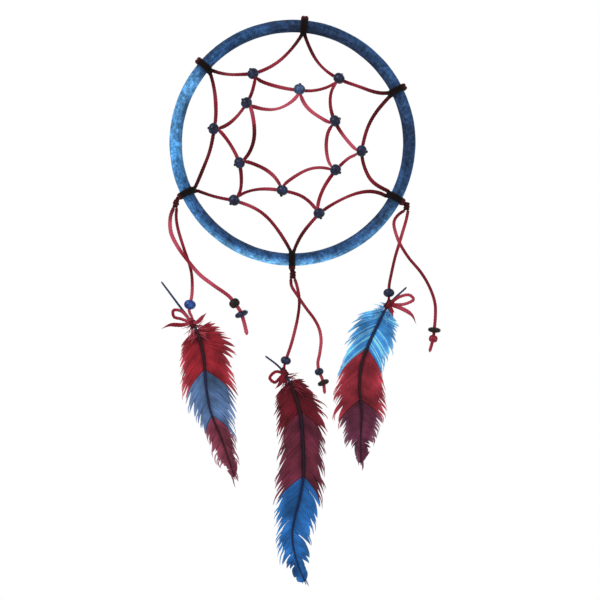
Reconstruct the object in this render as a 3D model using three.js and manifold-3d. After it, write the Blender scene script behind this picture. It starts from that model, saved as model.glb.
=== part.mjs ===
// A hanging dream catcher: a round stained wooden hoop, a web of three knotted cords with beads at
// its crossings, and three pendants, each with a beaded tail and a feather tied on by a bow.
//
// Millimetres, +Z up, front towards -Y, +X to the right seen from the front. The origin is the
// highest point of the hoop, where the hanging thread is tied.
import * as THREE from 'three';
import { mergeVertices } from 'three/addons/utils/BufferGeometryUtils.js';
import Module from 'manifold-3d';

const wasm = await Module();
wasm.setup();

// Driving dimensions
const HOOP_RADIUS = 75.9;
const HOOP_SECTION = 4.1;
const CORD_RADIUS = 1.05;
const CORD_SIDES = 8;
const WEB_SIDES = 6;
const HITCH_GAP = 0.4;
const HITCH_REACH = HOOP_SECTION + CORD_RADIUS + HITCH_GAP;
const HITCH_HALF_WIDTH = 1.2;
const BEAD_RADIUS = 3.5;
const BEAD_HALF_LENGTH = 3;
const BORE_RADIUS = 1.5;
const FRONT_LAYER = -2.4;
const PASSING_LAYER = 2.55;
const BACK_LAYER = 5;
const QUILL_RADIUS = 0.9;
const TIP_RADIUS = 0.35;
const VANE_THICKNESS = 0.8;
const VANE_GAP = 0.4;
const KNOT_TURN_RADIUS = 1.1;
const WRAP_RADIUS = 0.8;
const BOW_LIFT = 0.9;
const BINDING_GAP = 0.5;
const FEATHER_CORD_STEPS = 17;
const TAIL_CORD_STEPS = 23;

const HOOP_BLUE = { color: 0x2e6199, roughness: 0.6, metalness: 0 };
const CRIMSON = { color: 0x8e2b3a, roughness: 0.85, metalness: 0 };
const DARK_CRIMSON = { color: 0x5a1a20, roughness: 0.85, metalness: 0 };
const NAVY = { color: 0x242e4b, roughness: 0.35, metalness: 0 };
const ROYAL_BLUE = { color: 0x24509a, roughness: 0.35, metalness: 0 };
const BROWN_BLACK = { color: 0x2a1c18, roughness: 0.4, metalness: 0 };
const QUILL_GREY = { color: 0x2c3350, roughness: 0.5, metalness: 0 };
const FEATHER_RED = { color: 0x8c1c2c, roughness: 0.9, metalness: 0 };
const FEATHER_WINE = { color: 0x5a1e37, roughness: 0.9, metalness: 0 };
const FEATHER_BLUE = { color: 0x3282c8, roughness: 0.9, metalness: 0 };

const Y = new THREE.Vector3(0, 1, 0);

// Everything is placed from the hoop's centre, which hangs one outer radius below the origin.
const dreamCatcher = new THREE.Group();
dreamCatcher.position.z = -(HOOP_RADIUS + HOOP_SECTION);

function addMesh(name, geometry, finish) {
  const mesh = new THREE.Mesh(geometry, new THREE.MeshStandardMaterial(finish));
  mesh.name = name;
  dreamCatcher.add(mesh);
  return mesh;
}

// ---------------------------------------------------------------- shapes

// A cord's round section has this many sides.
function roundSection(radius, sides) {
  const shape = new THREE.Shape();
  for (let side = 0; side < sides; side += 1) {
    const angle = (2 * Math.PI * side) / sides;
    const x = radius * Math.cos(angle);
    const y = radius * Math.sin(angle);
    if (side === 0) shape.moveTo(x, y);
    else shape.lineTo(x, y);
  }
  shape.closePath();
  return shape;
}

function smoothPath(points) {
  return new THREE.CatmullRomCurve3(points, false, 'centripetal');
}

function openCord(points, radius, steps, sides = CORD_SIDES) {
  const options = { steps, extrudePath: smoothPath(points), bevelEnabled: false };
  return new THREE.ExtrudeGeometry(roundSection(radius, sides), options);
}

// A closed loop of cord has one ring of its tube at each of its points, close together in a bend.
class CordLoop extends THREE.CatmullRomCurve3 {
  getPointAt(u, target) {
    return this.getPoint(u, target);
  }

  getTangentAt(u, target) {
    return this.getTangent(u, target);
  }
}

function closedCord(points) {
  const loop = new CordLoop(points, true, 'centripetal');
  return new THREE.TubeGeometry(loop, points.length, CORD_RADIUS, WEB_SIDES, true);
}

// An oval bead turned about its own bore, which runs along Y.
function beadShape(radius, halfLength, rings = 5, sides = 10) {
  const rim = Math.acos(BORE_RADIUS / radius);
  const profile = [];
  for (let ring = 0; ring <= rings; ring += 1) {
    const angle = -rim + (2 * rim * ring) / rings;
    profile.push(new THREE.Vector2(radius * Math.cos(angle), halfLength * Math.sin(angle)));
  }
  profile.push(profile[0].clone());
  return new THREE.LatheGeometry(profile, sides);
}

// Two turns of cord wound side by side round a core or a bore, about Y. The turns are squeezed
// together, so the groove between them is shallow.
function wrapShape(turnRadius, innerRadius, sides = 10) {
  const turns = 2;
  const pitch = 1.7 * turnRadius;
  const grooveRadius = innerRadius + 1.2 * turnRadius;
  const crestRadius = innerRadius + 2 * turnRadius;
  const grooveOffset = 0.42 * pitch;
  const length = pitch * turns;
  const profile = [new THREE.Vector2(innerRadius, -length / 2)];
  for (let turn = 0; turn < turns; turn += 1) {
    const middle = -length / 2 + pitch * (turn + 0.5);
    profile.push(new THREE.Vector2(grooveRadius, middle - grooveOffset));
    profile.push(new THREE.Vector2(crestRadius, middle));
    profile.push(new THREE.Vector2(grooveRadius, middle + grooveOffset));
  }
  profile.push(new THREE.Vector2(innerRadius, length / 2));
  if (innerRadius > 0) profile.push(profile[0].clone());
  return new THREE.LatheGeometry(profile, sides);
}

function placeAlong(mesh, position, direction) {
  mesh.position.copy(position);
  mesh.quaternion.setFromUnitVectors(Y, direction.clone().normalize());
}

// ---------------------------------------------------------------- booleans

function toSolid(geometry) {
  const bare = geometry.index ? geometry.toNonIndexed() : geometry.clone();
  bare.deleteAttribute('normal');
  bare.deleteAttribute('uv');
  const merged = mergeVertices(bare, 1e-4);
  const mesh = new wasm.Mesh({
    numProp: 3,
    vertProperties: new Float32Array(merged.attributes.position.array),
    triVerts: new Uint32Array(merged.index.array),
  });
  return new wasm.Manifold(mesh);
}

function toGeometry(solid) {
  const mesh = solid.getMesh();
  const geometry = new THREE.BufferGeometry();
  geometry.setAttribute('position', new THREE.BufferAttribute(mesh.vertProperties, 3));
  geometry.setIndex(new THREE.BufferAttribute(mesh.triVerts, 1));
  geometry.computeVertexNormals();
  return geometry;
}

// ---------------------------------------------------------------- hoop

const hoop = addMesh(
  'hoop',
  new THREE.TorusGeometry(HOOP_RADIUS, HOOP_SECTION, 10, 60),
  HOOP_BLUE,
);
hoop.rotation.x = Math.PI / 2;

// ---------------------------------------------------------------- web

// Where the outer web cord is hitched to the hoop, in degrees anticlockwise from +X.
const HITCHES = {
  top: 84.3,
  upperLeft: 138.9,
  lowerLeft: 205.5,
  bottom: 269.8,
  lowerRight: 331.8,
  upperRight: 26.6,
};

// The beads' places in the web, [x, z] from the hoop's centre. Outer beads hang on the first cord
// and inner beads on the second.
const OUTER_BEADS = {
  topLeft: [-25.6, 44.7],
  left: [-51.1, 8.9],
  bottomLeft: [-37.8, -37.4],
  bottomRight: [17.3, -45.9],
  right: [44.8, -5.5],
  topRight: [30.2, 41.6],
};
const INNER_BEADS = {
  top: [4.5, 34.5],
  upperRight: [27.6, 14],
  lowerRight: [28, -17.7],
  bottom: [-6.6, -31],
  lowerLeft: [-34.3, -13.2],
  upperLeft: [-29.8, 25.7],
};

function outwardAt(degrees) {
  const angle = THREE.MathUtils.degToRad(degrees);
  return new THREE.Vector3(Math.cos(angle), 0, Math.sin(angle));
}

// A cow hitch: each leg goes up behind the hoop, over it and down its front, and a short bar in
// front of the legs joins the two turns.
function hitch(degrees) {
  const outward = outwardAt(degrees);
  const along = new THREE.Vector3(-outward.z, 0, outward.x);
  const middle = outward.clone().multiplyScalar(HOOP_RADIUS);
  const at = (inward, y, side) => middle
    .clone()
    .addScaledVector(outward, -inward)
    .addScaledVector(Y, y)
    .addScaledVector(along, side);
  const wound = (angle, side) => {
    const turn = THREE.MathUtils.degToRad(angle);
    return at(HITCH_REACH * Math.cos(turn), HITCH_REACH * Math.sin(turn), side);
  };
  const leg = (side) => {
    const points = [at(6.9, 1, side * 1.7)];
    for (let angle = 30; angle <= 300; angle += 30) points.push(wound(angle, side * HITCH_HALF_WIDTH));
    points.push(wound(322, side * 0.95));
    return points;
  };
  return [...leg(-1), wound(332, 0), ...leg(1).reverse()];
}

// The cord of the row below goes out through the bead, over the cord that it hangs on and back
// behind it. Outward distance from the bead's middle, and depth.
const CROSSING = [
  [-5.2, -2.1],
  [0, FRONT_LAYER],
  [2.9, -2.35],
  [3.8, -1.85],
  [4.15, -0.6],
  [3.7, 1.2],
  [2.95, 3.1],
  [1.6, 4.5],
  [0, BACK_LAYER],
  [-2.4, BACK_LAYER],
];

function inPlane([x, z], y) {
  return new THREE.Vector3(x, y, z);
}

function crossing(bead) {
  const outward = new THREE.Vector3(bead[0], 0, bead[1]).normalize();
  return CROSSING.map(([distance, y]) => inPlane(bead, y).addScaledVector(outward, distance));
}

// Points between two knots, whose depth changes evenly from one to the other.
function run(start, end, places) {
  return places.map((place, index) => {
    const share = (index + 1) / (places.length + 1);
    return inPlane(place, THREE.MathUtils.lerp(start, end, share));
  });
}

const HITCH_LAYER = 1;

// First row: from hitch to hitch round the hoop, pulled inwards by each outer bead.
const outerRow = [
  ...hitch(HITCHES.top),
  ...run(HITCH_LAYER, PASSING_LAYER, [[-1, 60.5], [-11.5, 51], [-20.5, 46.8]]),
  inPlane(OUTER_BEADS.topLeft, PASSING_LAYER),
  ...run(PASSING_LAYER, HITCH_LAYER, [[-30, 45], [-38, 44.3], [-45, 44.8]]),
  ...hitch(HITCHES.upperLeft),
  ...run(HITCH_LAYER, PASSING_LAYER, [[-50.7, 34.5], [-49.8, 23], [-50, 14]]),
  inPlane(OUTER_BEADS.left, PASSING_LAYER),
  ...run(PASSING_LAYER, HITCH_LAYER, [[-51.7, 4.5], [-53.6, -5], [-58.5, -17.5]]),
  ...hitch(HITCHES.lowerLeft),
  ...run(HITCH_LAYER, PASSING_LAYER, [[-53, -34.4], [-45, -36.2]]),
  inPlane(OUTER_BEADS.bottomLeft, PASSING_LAYER),
  ...run(PASSING_LAYER, HITCH_LAYER, [[-33.5, -38.8], [-27.5, -40.8], [-18, -46.6], [-8.3, -58.3]]),
  ...hitch(HITCHES.bottom),
  ...run(HITCH_LAYER, PASSING_LAYER, [[5.2, -60.5], [13.2, -50.5]]),
  inPlane(OUTER_BEADS.bottomRight, PASSING_LAYER),
  ...run(PASSING_LAYER, HITCH_LAYER, [[21.5, -42.6], [31.7, -36.8], [41.7, -32.6], [53.5, -31.2]]),
  ...hitch(HITCHES.lowerRight),
  ...run(HITCH_LAYER, PASSING_LAYER, [[51.5, -25.5], [46.8, -15.7], [45, -9.5]]),
  inPlane(OUTER_BEADS.right, PASSING_LAYER),
  ...run(PASSING_LAYER, HITCH_LAYER, [[45.8, -1], [49.1, 11], [55, 21]]),
  ...hitch(HITCHES.upperRight),
  ...run(HITCH_LAYER, PASSING_LAYER, [[54.5, 32.5], [44.2, 36.6], [34.5, 39.7]]),
  inPlane(OUTER_BEADS.topRight, PASSING_LAYER),
  ...run(PASSING_LAYER, HITCH_LAYER, [[26.5, 43.8], [19.9, 48.4], [13.7, 56.4]]),
];

// Second row: from an outer bead's crossing to the next, pulled inwards by each inner bead.
const middleRow = [
  ...crossing(OUTER_BEADS.topLeft),
  ...run(BACK_LAYER, PASSING_LAYER, [[-20, 40.3], [-13.1, 37.8], [-0.5, 34.9]]),
  inPlane(INNER_BEADS.top, PASSING_LAYER),
  ...run(PASSING_LAYER, FRONT_LAYER, [[9, 33.6], [19.3, 34.6]]),
  ...crossing(OUTER_BEADS.topRight),
  ...run(BACK_LAYER, PASSING_LAYER, [[25.2, 34], [24.2, 27.8], [25.8, 18]]),
  inPlane(INNER_BEADS.upperRight, PASSING_LAYER),
  ...run(PASSING_LAYER, FRONT_LAYER, [[29.8, 9.4], [34.3, 2.9]]),
  ...crossing(OUTER_BEADS.right),
  ...run(BACK_LAYER, PASSING_LAYER, [[39.5, -8.2], [35.5, -10], [31, -14.8]]),
  inPlane(INNER_BEADS.lowerRight, PASSING_LAYER),
  ...run(PASSING_LAYER, FRONT_LAYER, [[25.1, -21.6], [18.9, -31.8]]),
  ...crossing(OUTER_BEADS.bottomRight),
  ...run(BACK_LAYER, PASSING_LAYER, [[12.4, -39.4], [6.9, -34.4], [-2.5, -31.6]]),
  inPlane(INNER_BEADS.bottom, PASSING_LAYER),
  ...run(PASSING_LAYER, FRONT_LAYER, [[-11, -30.2], [-22.5, -30], [-29.5, -31.8]]),
  ...crossing(OUTER_BEADS.bottomLeft),
  ...run(BACK_LAYER, PASSING_LAYER, [[-33.5, -29.5], [-33.2, -23.5], [-33.6, -17.5]]),
  inPlane(INNER_BEADS.lowerLeft, PASSING_LAYER),
  ...run(PASSING_LAYER, FRONT_LAYER, [[-36, -9], [-40.4, -0.8]]),
  ...crossing(OUTER_BEADS.left),
  ...run(BACK_LAYER, PASSING_LAYER, [[-43.5, 11.6], [-39.1, 14.2], [-32.5, 22]]),
  inPlane(INNER_BEADS.upperLeft, PASSING_LAYER),
  ...run(PASSING_LAYER, FRONT_LAYER, [[-27.2, 29.8], [-25.5, 35.5]]),
];

// Third row: from an inner bead's crossing to the next, round the open middle.
const innerRow = [
  ...crossing(INNER_BEADS.top),
  ...run(BACK_LAYER, FRONT_LAYER, [[9.4, 22.9], [16.8, 17.2]]),
  ...crossing(INNER_BEADS.upperRight),
  ...run(BACK_LAYER, FRONT_LAYER, [[22.4, 5], [22.4, -8.5]]),
  ...crossing(INNER_BEADS.lowerRight),
  ...run(BACK_LAYER, FRONT_LAYER, [[14.3, -15.7], [4.4, -20]]),
  ...crossing(INNER_BEADS.bottom),
  ...run(BACK_LAYER, FRONT_LAYER, [[-13.1, -20], [-21.7, -15.1]]),
  ...crossing(INNER_BEADS.lowerLeft),
  ...run(BACK_LAYER, FRONT_LAYER, [[-26.4, -3.3], [-24.5, 7.9]]),
  ...crossing(INNER_BEADS.upperLeft),
  ...run(BACK_LAYER, FRONT_LAYER, [[-13.1, 21.4], [-3.1, 24.7]]),
];

addMesh('web_outer_cord', closedCord(outerRow), CRIMSON);
addMesh('web_middle_cord', closedCord(middleRow), CRIMSON);
addMesh('web_inner_cord', closedCord(innerRow), CRIMSON);

function addWebBeads(ring, beads) {
  Object.values(beads).forEach((bead, index) => {
    const mesh = addMesh(`web_bead_${ring}_${index + 1}`, beadShape(BEAD_RADIUS, BEAD_HALF_LENGTH), NAVY);
    placeAlong(mesh, inPlane(bead, FRONT_LAYER), new THREE.Vector3(bead[0], 0, bead[1]));
  });
}

addWebBeads('outer', OUTER_BEADS);
addWebBeads('inner', INNER_BEADS);

// ---------------------------------------------------------------- pendants

// Each cord's route is a list of [x, y, z] from the hoop's centre, top first, and a bead's size is
// [radius, half length]. A bow's place is a share of the shaft's length, and its loop and tails are
// [x, z] points in front of the shaft. A feather lies flat at its own depth, its layer.
const PENDANTS = [
  {
    name: 'left',
    knot: [-75.7, 0, -39.4],
    featherCord: [
      [-75.3, 0.2, -42.4], [-75.6, 0.6, -48.6], [-74.6, 1.6, -55.6], [-70.9, 2.5, -68.1],
      [-67.1, 2.5, -79.2], [-65.7, 2.5, -85.6], [-65.3, 2.5, -92.5], [-65.6, 2.5, -99.3],
      [-66.8, 2.5, -105.2], [-67.3, 2.55, -108.9], [-66.7, 1.7, -111], [-65.8, 0.8, -112.5],
      [-65.2, 0.2, -114.4],
    ],
    featherBead: { at: [-66.8, 2.5, -105.2], along: [-0.15, 0, -1], size: [3.9, 3.3], finish: ROYAL_BLUE },
    tail: [
      [-77.3, -0.4, -42.4], [-79.2, -1.4, -48.4], [-78.8, -2.6, -58.2], [-74, -3.5, -68.1],
      [-67.7, -3.5, -76.8], [-60.3, -3.5, -85.5], [-51.6, -3.5, -92.3], [-40.9, -3.5, -100],
      [-37.6, -3.5, -104.3], [-34.8, -3.5, -107.8], [-33, -3.5, -111.3], [-31.2, -3.5, -117.2],
      [-29.4, -3.5, -124.9],
    ],
    tailBeads: [
      { at: [-37.6, -3.5, -104.3], along: [0.64, 0, -0.77], size: [3.5, 3], finish: BROWN_BLACK },
      { at: [-33, -3.5, -111.3], along: [0.4, 0, -0.92], size: [4.5, 2], finish: NAVY },
    ],
    bowAt: 0.24,
    loop: [[-72.5, -109.3], [-77.3, -109], [-77, -113], [-72, -114.6]],
    bowTails: [
      [[-71.6, -118.4], [-79.4, -118.4], [-85.3, -121]],
      [[-61.4, -116.3], [-58.2, -113], [-55.6, -110.4]],
    ],
    shaft: [
      [-85.5, -90.2], [-74.4, -105.1], [-63.4, -120.3], [-59.7, -130.2], [-57.8, -140.1],
      [-56.6, -155.1], [-55.3, -165], [-53.1, -175.6], [-45.8, -193.5], [-37.3, -219.1],
    ],
    layer: 2.5,
    vaneStart: 0.28,
    leftEdge: [
      [-72.7, -131.8], [-74.1, -144.8], [-71.8, -157.8], [-69.2, -172],
      [-62.8, -180], [-55.6, -192], [-50.4, -207.2], [-43, -213.5],
    ],
    rightEdge: [
      [-53, -115.5], [-40.4, -127.7], [-37.3, -140.8], [-38.5, -151],
      [-36.4, -162.5], [-37.9, -182], [-37.4, -196], [-35.6, -208],
    ],
    finish: FEATHER_RED,
  },
  {
    name: 'centre',
    knot: [0.2, 0, -85.6],
    featherCord: [
      [1.5, -0.3, -88.6], [2.8, -1.2, -92.6], [4.2, -2.4, -99.3], [4.4, -3.2, -105.4],
      [3.4, -3.5, -113.6], [1.2, -3.5, -123.5], [-1.2, -3.5, -132.2], [-3.4, -3.5, -138.6],
      [-4.5, -3.5, -142.2], [-5.4, -3.5, -145.2],
    ],
    featherBead: { at: [-4.3, -3.5, -141.4], along: [-0.28, 0, -1], size: [3.4, 2.9], finish: NAVY },
    tail: [
      [-1.1, 0.3, -88.6], [-0.6, 1.2, -93], [3.6, 2.9, -99.8], [8.7, 5, -107.3], [14.3, 6.6, -114.8],
      [17.4, 7.2, -121], [18.7, 7.5, -128.4], [17.8, 7.5, -137.2], [16.6, 7.5, -143.4],
      [17.4, 7.5, -149.1], [19, 7.5, -152.7], [20.2, 7.5, -156.3], [21.1, 7.5, -163.6],
    ],
    tailBeads: [
      { at: [17.4, 7.5, -149.1], along: [0.3, 0, -0.95], size: [2.9, 2.4], finish: NAVY },
      { at: [20.2, 7.5, -156.3], along: [0.38, 0, -0.92], size: [3.9, 1.8], finish: BROWN_BLACK },
    ],
    bowAt: 0.105,
    loop: [[-11, -148.6], [-14.6, -152.6], [-11.4, -155.4], [-8, -152.4]],
    bowTails: [
      [[-6.8, -154], [-9, -157.4], [-11.3, -159.6]],
    ],
    shaft: [
      [-17.7, -138.4], [-8.7, -145.5], [-2.5, -153.9], [2.2, -165], [5.2, -176.9],
      [7, -197.8], [7, -217.2], [4.5, -232.1], [0.7, -247.1], [0, -257.5], [2.2, -269.4], [8.8, -286.5],
    ],
    layer: -3.5,
    vaneStart: 0.15,
    leftEdge: [
      [-11, -164.9], [-11.2, -179.9], [-8.3, -196], [-11.2, -226],
      [-11.2, -246], [-8.3, -268], [-4.5, -277.7], [3, -285],
    ],
    rightEdge: [
      [6.7, -153.1], [20.2, -171], [21.6, -178.4], [20.9, -196],
      [20.5, -214], [19.5, -232], [12, -258], [9.8, -278],
    ],
    finish: FEATHER_WINE,
  },
  {
    name: 'right',
    knot: [74.2, 0, -41],
    featherCord: [
      [75.2, 0.3, -44], [74, 0.8, -50], [71.6, 1.8, -58.4], [69.5, 2.5, -65.5], [66.7, 2.5, -74.9],
      [64.4, 2.5, -85.2], [63, 2.5, -92.6], [62.8, 2.5, -97.8], [62.8, 2.5, -101.3],
    ],
    featherBead: { at: [62.8, 2.5, -97.5], along: [0.05, 0, -1], size: [3.9, 3], finish: NAVY },
    tail: [
      [72.8, -0.3, -44], [69.3, -1, -46.4], [66.6, -1.6, -49.6],
      [65.8, -2.2, -53], [67.3, -3.2, -59.9], [69.9, -3.5, -66.2],
      [75.4, -3.5, -74.9], [83.3, -3.5, -84.4], [88.8, -3.5, -93.8], [92.3, -3.5, -104.1],
      [92.6, -3.5, -112.7], [91.9, -3.5, -121.2], [91.1, -3.5, -127.5], [88.8, -3.5, -136],
    ],
    tailBeads: [
      { at: [91.9, -3.5, -121.6], along: [-0.1, 0, -0.99], size: [4.1, 1.8], finish: BROWN_BLACK },
      { at: [91.2, -3.5, -127.3], along: [-0.15, 0, -0.99], size: [2.9, 2.5], finish: CRIMSON },
    ],
    bowAt: 0.13,
    loop: [[69.5, -100.2], [76, -99], [78.6, -101.8], [73, -104.8]],
    bowTails: [
      [[71, -107.8], [77.5, -112], [80.4, -118]],
      [[64.4, -109.4], [65.3, -113]],
    ],
    shaft: [
      [74.4, -93.8], [62.4, -105.6], [55.2, -119], [48.9, -132.7], [44.6, -146.4],
      [43.7, -158.8], [44.3, -167.5], [45.2, -177.5], [44.6, -187.4], [44.6, -209.8],
    ],
    layer: 2.5,
    vaneStart: 0.17,
    leftEdge: [
      [42.8, -111.6], [37, -122.5], [31.5, -147.6], [27.5, -164],
      [27.8, -179.2], [33.4, -190], [37, -201], [42, -207],
    ],
    rightEdge: [
      [65, -110.3], [68.8, -118], [64.5, -137.1], [58.5, -148.3],
      [60, -164], [60.6, -176], [56, -188], [50, -201],
    ],
    finish: FEATHER_BLUE,
  },
];

const toVector = ([x, y, z]) => new THREE.Vector3(x, y, z);

// The shaft is a tapered rod bent along its own curve, quill first.
function shaftShape(curve, layer, steps = 18, sides = 6) {
  const rod = new THREE.CylinderGeometry(TIP_RADIUS, QUILL_RADIUS, 1, sides, steps);
  const places = rod.attributes.position;
  for (let index = 0; index < places.count; index += 1) {
    const share = places.getY(index) + 0.5;
    const middle = curve.getPointAt(share);
    const forward = curve.getTangentAt(share);
    const sideways = places.getX(index);
    places.setXYZ(
      index,
      middle.x - forward.y * sideways,
      layer + places.getZ(index),
      middle.y + forward.x * sideways,
    );
  }
  return rod;
}

function shaftRadius(share) {
  return THREE.MathUtils.lerp(QUILL_RADIUS, TIP_RADIUS, share);
}

// One vane: from its start along the shaft to near the tip, and back along its outer edge.
function vaneShape(curve, start, edge, side) {
  const shape = new THREE.Shape();
  const steps = 12;
  const end = 0.975;
  for (let step = 0; step <= steps; step += 1) {
    const share = THREE.MathUtils.lerp(start, end, step / steps);
    const middle = curve.getPointAt(share);
    const forward = curve.getTangentAt(share);
    const off = side * (shaftRadius(share) + VANE_GAP);
    const x = middle.x - forward.y * off;
    const z = middle.y + forward.x * off;
    if (step === 0) shape.moveTo(x, z);
    else shape.lineTo(x, z);
  }
  const outline = edge.map(([x, z]) => new THREE.Vector2(x, z)).reverse();
  shape.splineThru(outline);
  shape.closePath();
  return shape;
}

function vaneGeometry(shape, layer) {
  const options = { depth: VANE_THICKNESS, bevelEnabled: false, curveSegments: 3 };
  const geometry = new THREE.ExtrudeGeometry(shape, options);
  geometry.rotateX(Math.PI / 2);
  geometry.translate(0, layer + VANE_THICKNESS / 2, 0);
  return geometry;
}

// The bow's binding is wound round the shaft, and its loop and tails start inside the binding.
function bowShape(pendant, curve) {
  const place = curve.getPointAt(pendant.bowAt);
  const forward = curve.getTangentAt(pendant.bowAt);
  const binding = wrapShape(WRAP_RADIUS, shaftRadius(pendant.bowAt) + BINDING_GAP);
  const turn = new THREE.Quaternion();
  turn.setFromUnitVectors(Y, new THREE.Vector3(forward.x, 0, forward.y));
  binding.applyQuaternion(turn);
  binding.translate(place.x, pendant.layer, place.y);
  const depth = pendant.layer - shaftRadius(pendant.bowAt) - BINDING_GAP - WRAP_RADIUS;
  const start = inPlane([place.x, place.y], depth);
  const forwards = ([x, z]) => inPlane([x, z], depth - BOW_LIFT);
  const strands = pendant.bowTails.map((tail) => [start, ...tail.map(forwards)]);
  strands.push([start, ...pendant.loop.map(forwards), start]);
  let solid = toSolid(binding);
  strands.forEach((strand) => {
    const steps = 2 * strand.length;
    solid = solid.add(toSolid(openCord(strand, WRAP_RADIUS, steps, 6)));
  });
  // Sealed pockets between the crossing strands are filled: only the outer skin is kept.
  const skins = solid.decompose().sort((a, b) => b.volume() - a.volume());
  return toGeometry(skins[0]);
}

function addBead(name, { at, along, size, finish }) {
  placeAlong(addMesh(name, beadShape(...size), finish), toVector(at), toVector(along));
}

PENDANTS.forEach((pendant) => {
  const { name, layer } = pendant;
  const shaftCurve = new THREE.SplineCurve(pendant.shaft.map(([x, z]) => new THREE.Vector2(x, z)));

  const knot = addMesh(`${name}_hitch`, wrapShape(KNOT_TURN_RADIUS, 0), DARK_CRIMSON);
  placeAlong(knot, toVector(pendant.knot), new THREE.Vector3(0, 0, 1));

  const featherCord = openCord(pendant.featherCord.map(toVector), CORD_RADIUS, FEATHER_CORD_STEPS);
  addMesh(`${name}_feather_cord`, featherCord, CRIMSON);
  addBead(`${name}_feather_bead`, pendant.featherBead);

  const tailCord = openCord(pendant.tail.map(toVector), CORD_RADIUS, TAIL_CORD_STEPS);
  addMesh(`${name}_tail_cord`, tailCord, CRIMSON);
  addBead(`${name}_tail_bead_upper`, pendant.tailBeads[0]);
  addBead(`${name}_tail_bead_lower`, pendant.tailBeads[1]);

  addMesh(`${name}_bow`, bowShape(pendant, shaftCurve), CRIMSON);
  addMesh(`${name}_feather_shaft`, shaftShape(shaftCurve, layer), QUILL_GREY);
  const leftVane = vaneShape(shaftCurve, pendant.vaneStart, pendant.leftEdge, -1);
  const rightVane = vaneShape(shaftCurve, pendant.vaneStart, pendant.rightEdge, 1);
  addMesh(`${name}_feather_vane_left`, vaneGeometry(leftVane, layer), pendant.finish);
  addMesh(`${name}_feather_vane_right`, vaneGeometry(rightVane, layer), pendant.finish);
});

export default dreamCatcher;
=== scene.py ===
import math
import random

import bpy
from mathutils import Matrix, Vector, noise


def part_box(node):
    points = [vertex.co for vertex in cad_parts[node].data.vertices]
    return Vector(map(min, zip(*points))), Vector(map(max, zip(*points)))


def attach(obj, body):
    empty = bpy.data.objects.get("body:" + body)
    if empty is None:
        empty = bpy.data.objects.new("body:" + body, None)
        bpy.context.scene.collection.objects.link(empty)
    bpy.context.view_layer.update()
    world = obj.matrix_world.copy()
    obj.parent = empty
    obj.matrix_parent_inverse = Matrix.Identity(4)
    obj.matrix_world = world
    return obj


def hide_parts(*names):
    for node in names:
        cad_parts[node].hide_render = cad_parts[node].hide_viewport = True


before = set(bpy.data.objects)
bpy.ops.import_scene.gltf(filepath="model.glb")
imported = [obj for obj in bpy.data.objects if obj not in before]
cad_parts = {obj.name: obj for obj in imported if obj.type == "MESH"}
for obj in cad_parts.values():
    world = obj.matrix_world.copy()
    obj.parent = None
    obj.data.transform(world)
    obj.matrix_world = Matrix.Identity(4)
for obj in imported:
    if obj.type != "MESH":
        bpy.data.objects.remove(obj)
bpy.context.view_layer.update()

scene = bpy.context.scene

# ------------------------------------------------------------------ camera, floor and light
# The dream catcher hangs by itself in front of a white room and is looked at straight from the
# front, with its whole length in view. The floor lies well below it.
hoop_low, hoop_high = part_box("hoop")
hoop_middle = (hoop_low + hoop_high) / 2
AIM = Vector((0.0049, 0, -0.1022))
VIEW_WIDTH = 0.390
LENS = 100
SENSOR = 36
FLOOR_HEIGHT = -0.6
FLOOR_RADIUS = 1.0


def srgb(red, green, blue):
    """A colour given in display values from 0 to 255, as the shaders read it."""
    shares = (red / 255, green / 255, blue / 255)
    return tuple(s / 12.92 if s <= 0.04045 else ((s + 0.055) / 1.055) ** 2.4 for s in shares)


def finish_nodes(name):
    """A new material with its node tree and its main shader."""
    material = bpy.data.materials.new(name)
    material.use_nodes = True
    tree = material.node_tree
    return material, tree, tree.nodes["Principled BSDF"]


camera_data = bpy.data.cameras.new("camera")
camera_data.lens = LENS
camera_data.sensor_width = SENSOR
camera = bpy.data.objects.new("camera", camera_data)
scene.collection.objects.link(camera)
camera.location = hoop_middle + AIM + Vector((0, -VIEW_WIDTH * LENS / SENSOR, 0))
camera.rotation_euler = (math.pi / 2, 0, 0)
scene.camera = camera

scene.view_settings.view_transform = "Standard"
world = bpy.data.worlds.new("white_room")
scene.world = world
world.use_nodes = True
room = world.node_tree
room_light = room.nodes["Background"]
room_light.inputs["Color"].default_value = (1, 1, 1, 1)
room_light.inputs["Strength"].default_value = 0.62
room_wall = room.nodes.new("ShaderNodeBackground")
room_wall.inputs["Color"].default_value = (1, 1, 1, 1)
room_rays = room.nodes.new("ShaderNodeLightPath")
room_mix = room.nodes.new("ShaderNodeMixShader")
room.links.new(room_rays.outputs["Is Camera Ray"], room_mix.inputs["Fac"])
room.links.new(room_light.outputs["Background"], room_mix.inputs[1])
room.links.new(room_wall.outputs["Background"], room_mix.inputs[2])
room.links.new(room_mix.outputs["Shader"], room.nodes["World Output"].inputs["Surface"])


def soft_lamp(name, place, size, power):
    """A square soft box at a place, turned to the middle of the dream catcher."""
    lamp_data = bpy.data.lights.new(name, "AREA")
    lamp_data.size = size
    lamp_data.energy = power
    lamp = bpy.data.objects.new(name, lamp_data)
    scene.collection.objects.link(lamp)
    lamp.location = place
    lamp.rotation_euler = (hoop_middle + AIM - lamp.location).to_track_quat("-Z", "Y").to_euler()


soft_lamp("key_lamp", Vector((-0.9, -1.1, 0.7)), 0.7, 11)
soft_lamp("fill_lamp", Vector((1.1, -0.9, 0.0)), 1.0, 3)
soft_lamp("back_lamp", Vector((0.5, 1.3, 0.5)), 1.0, 6)

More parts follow.
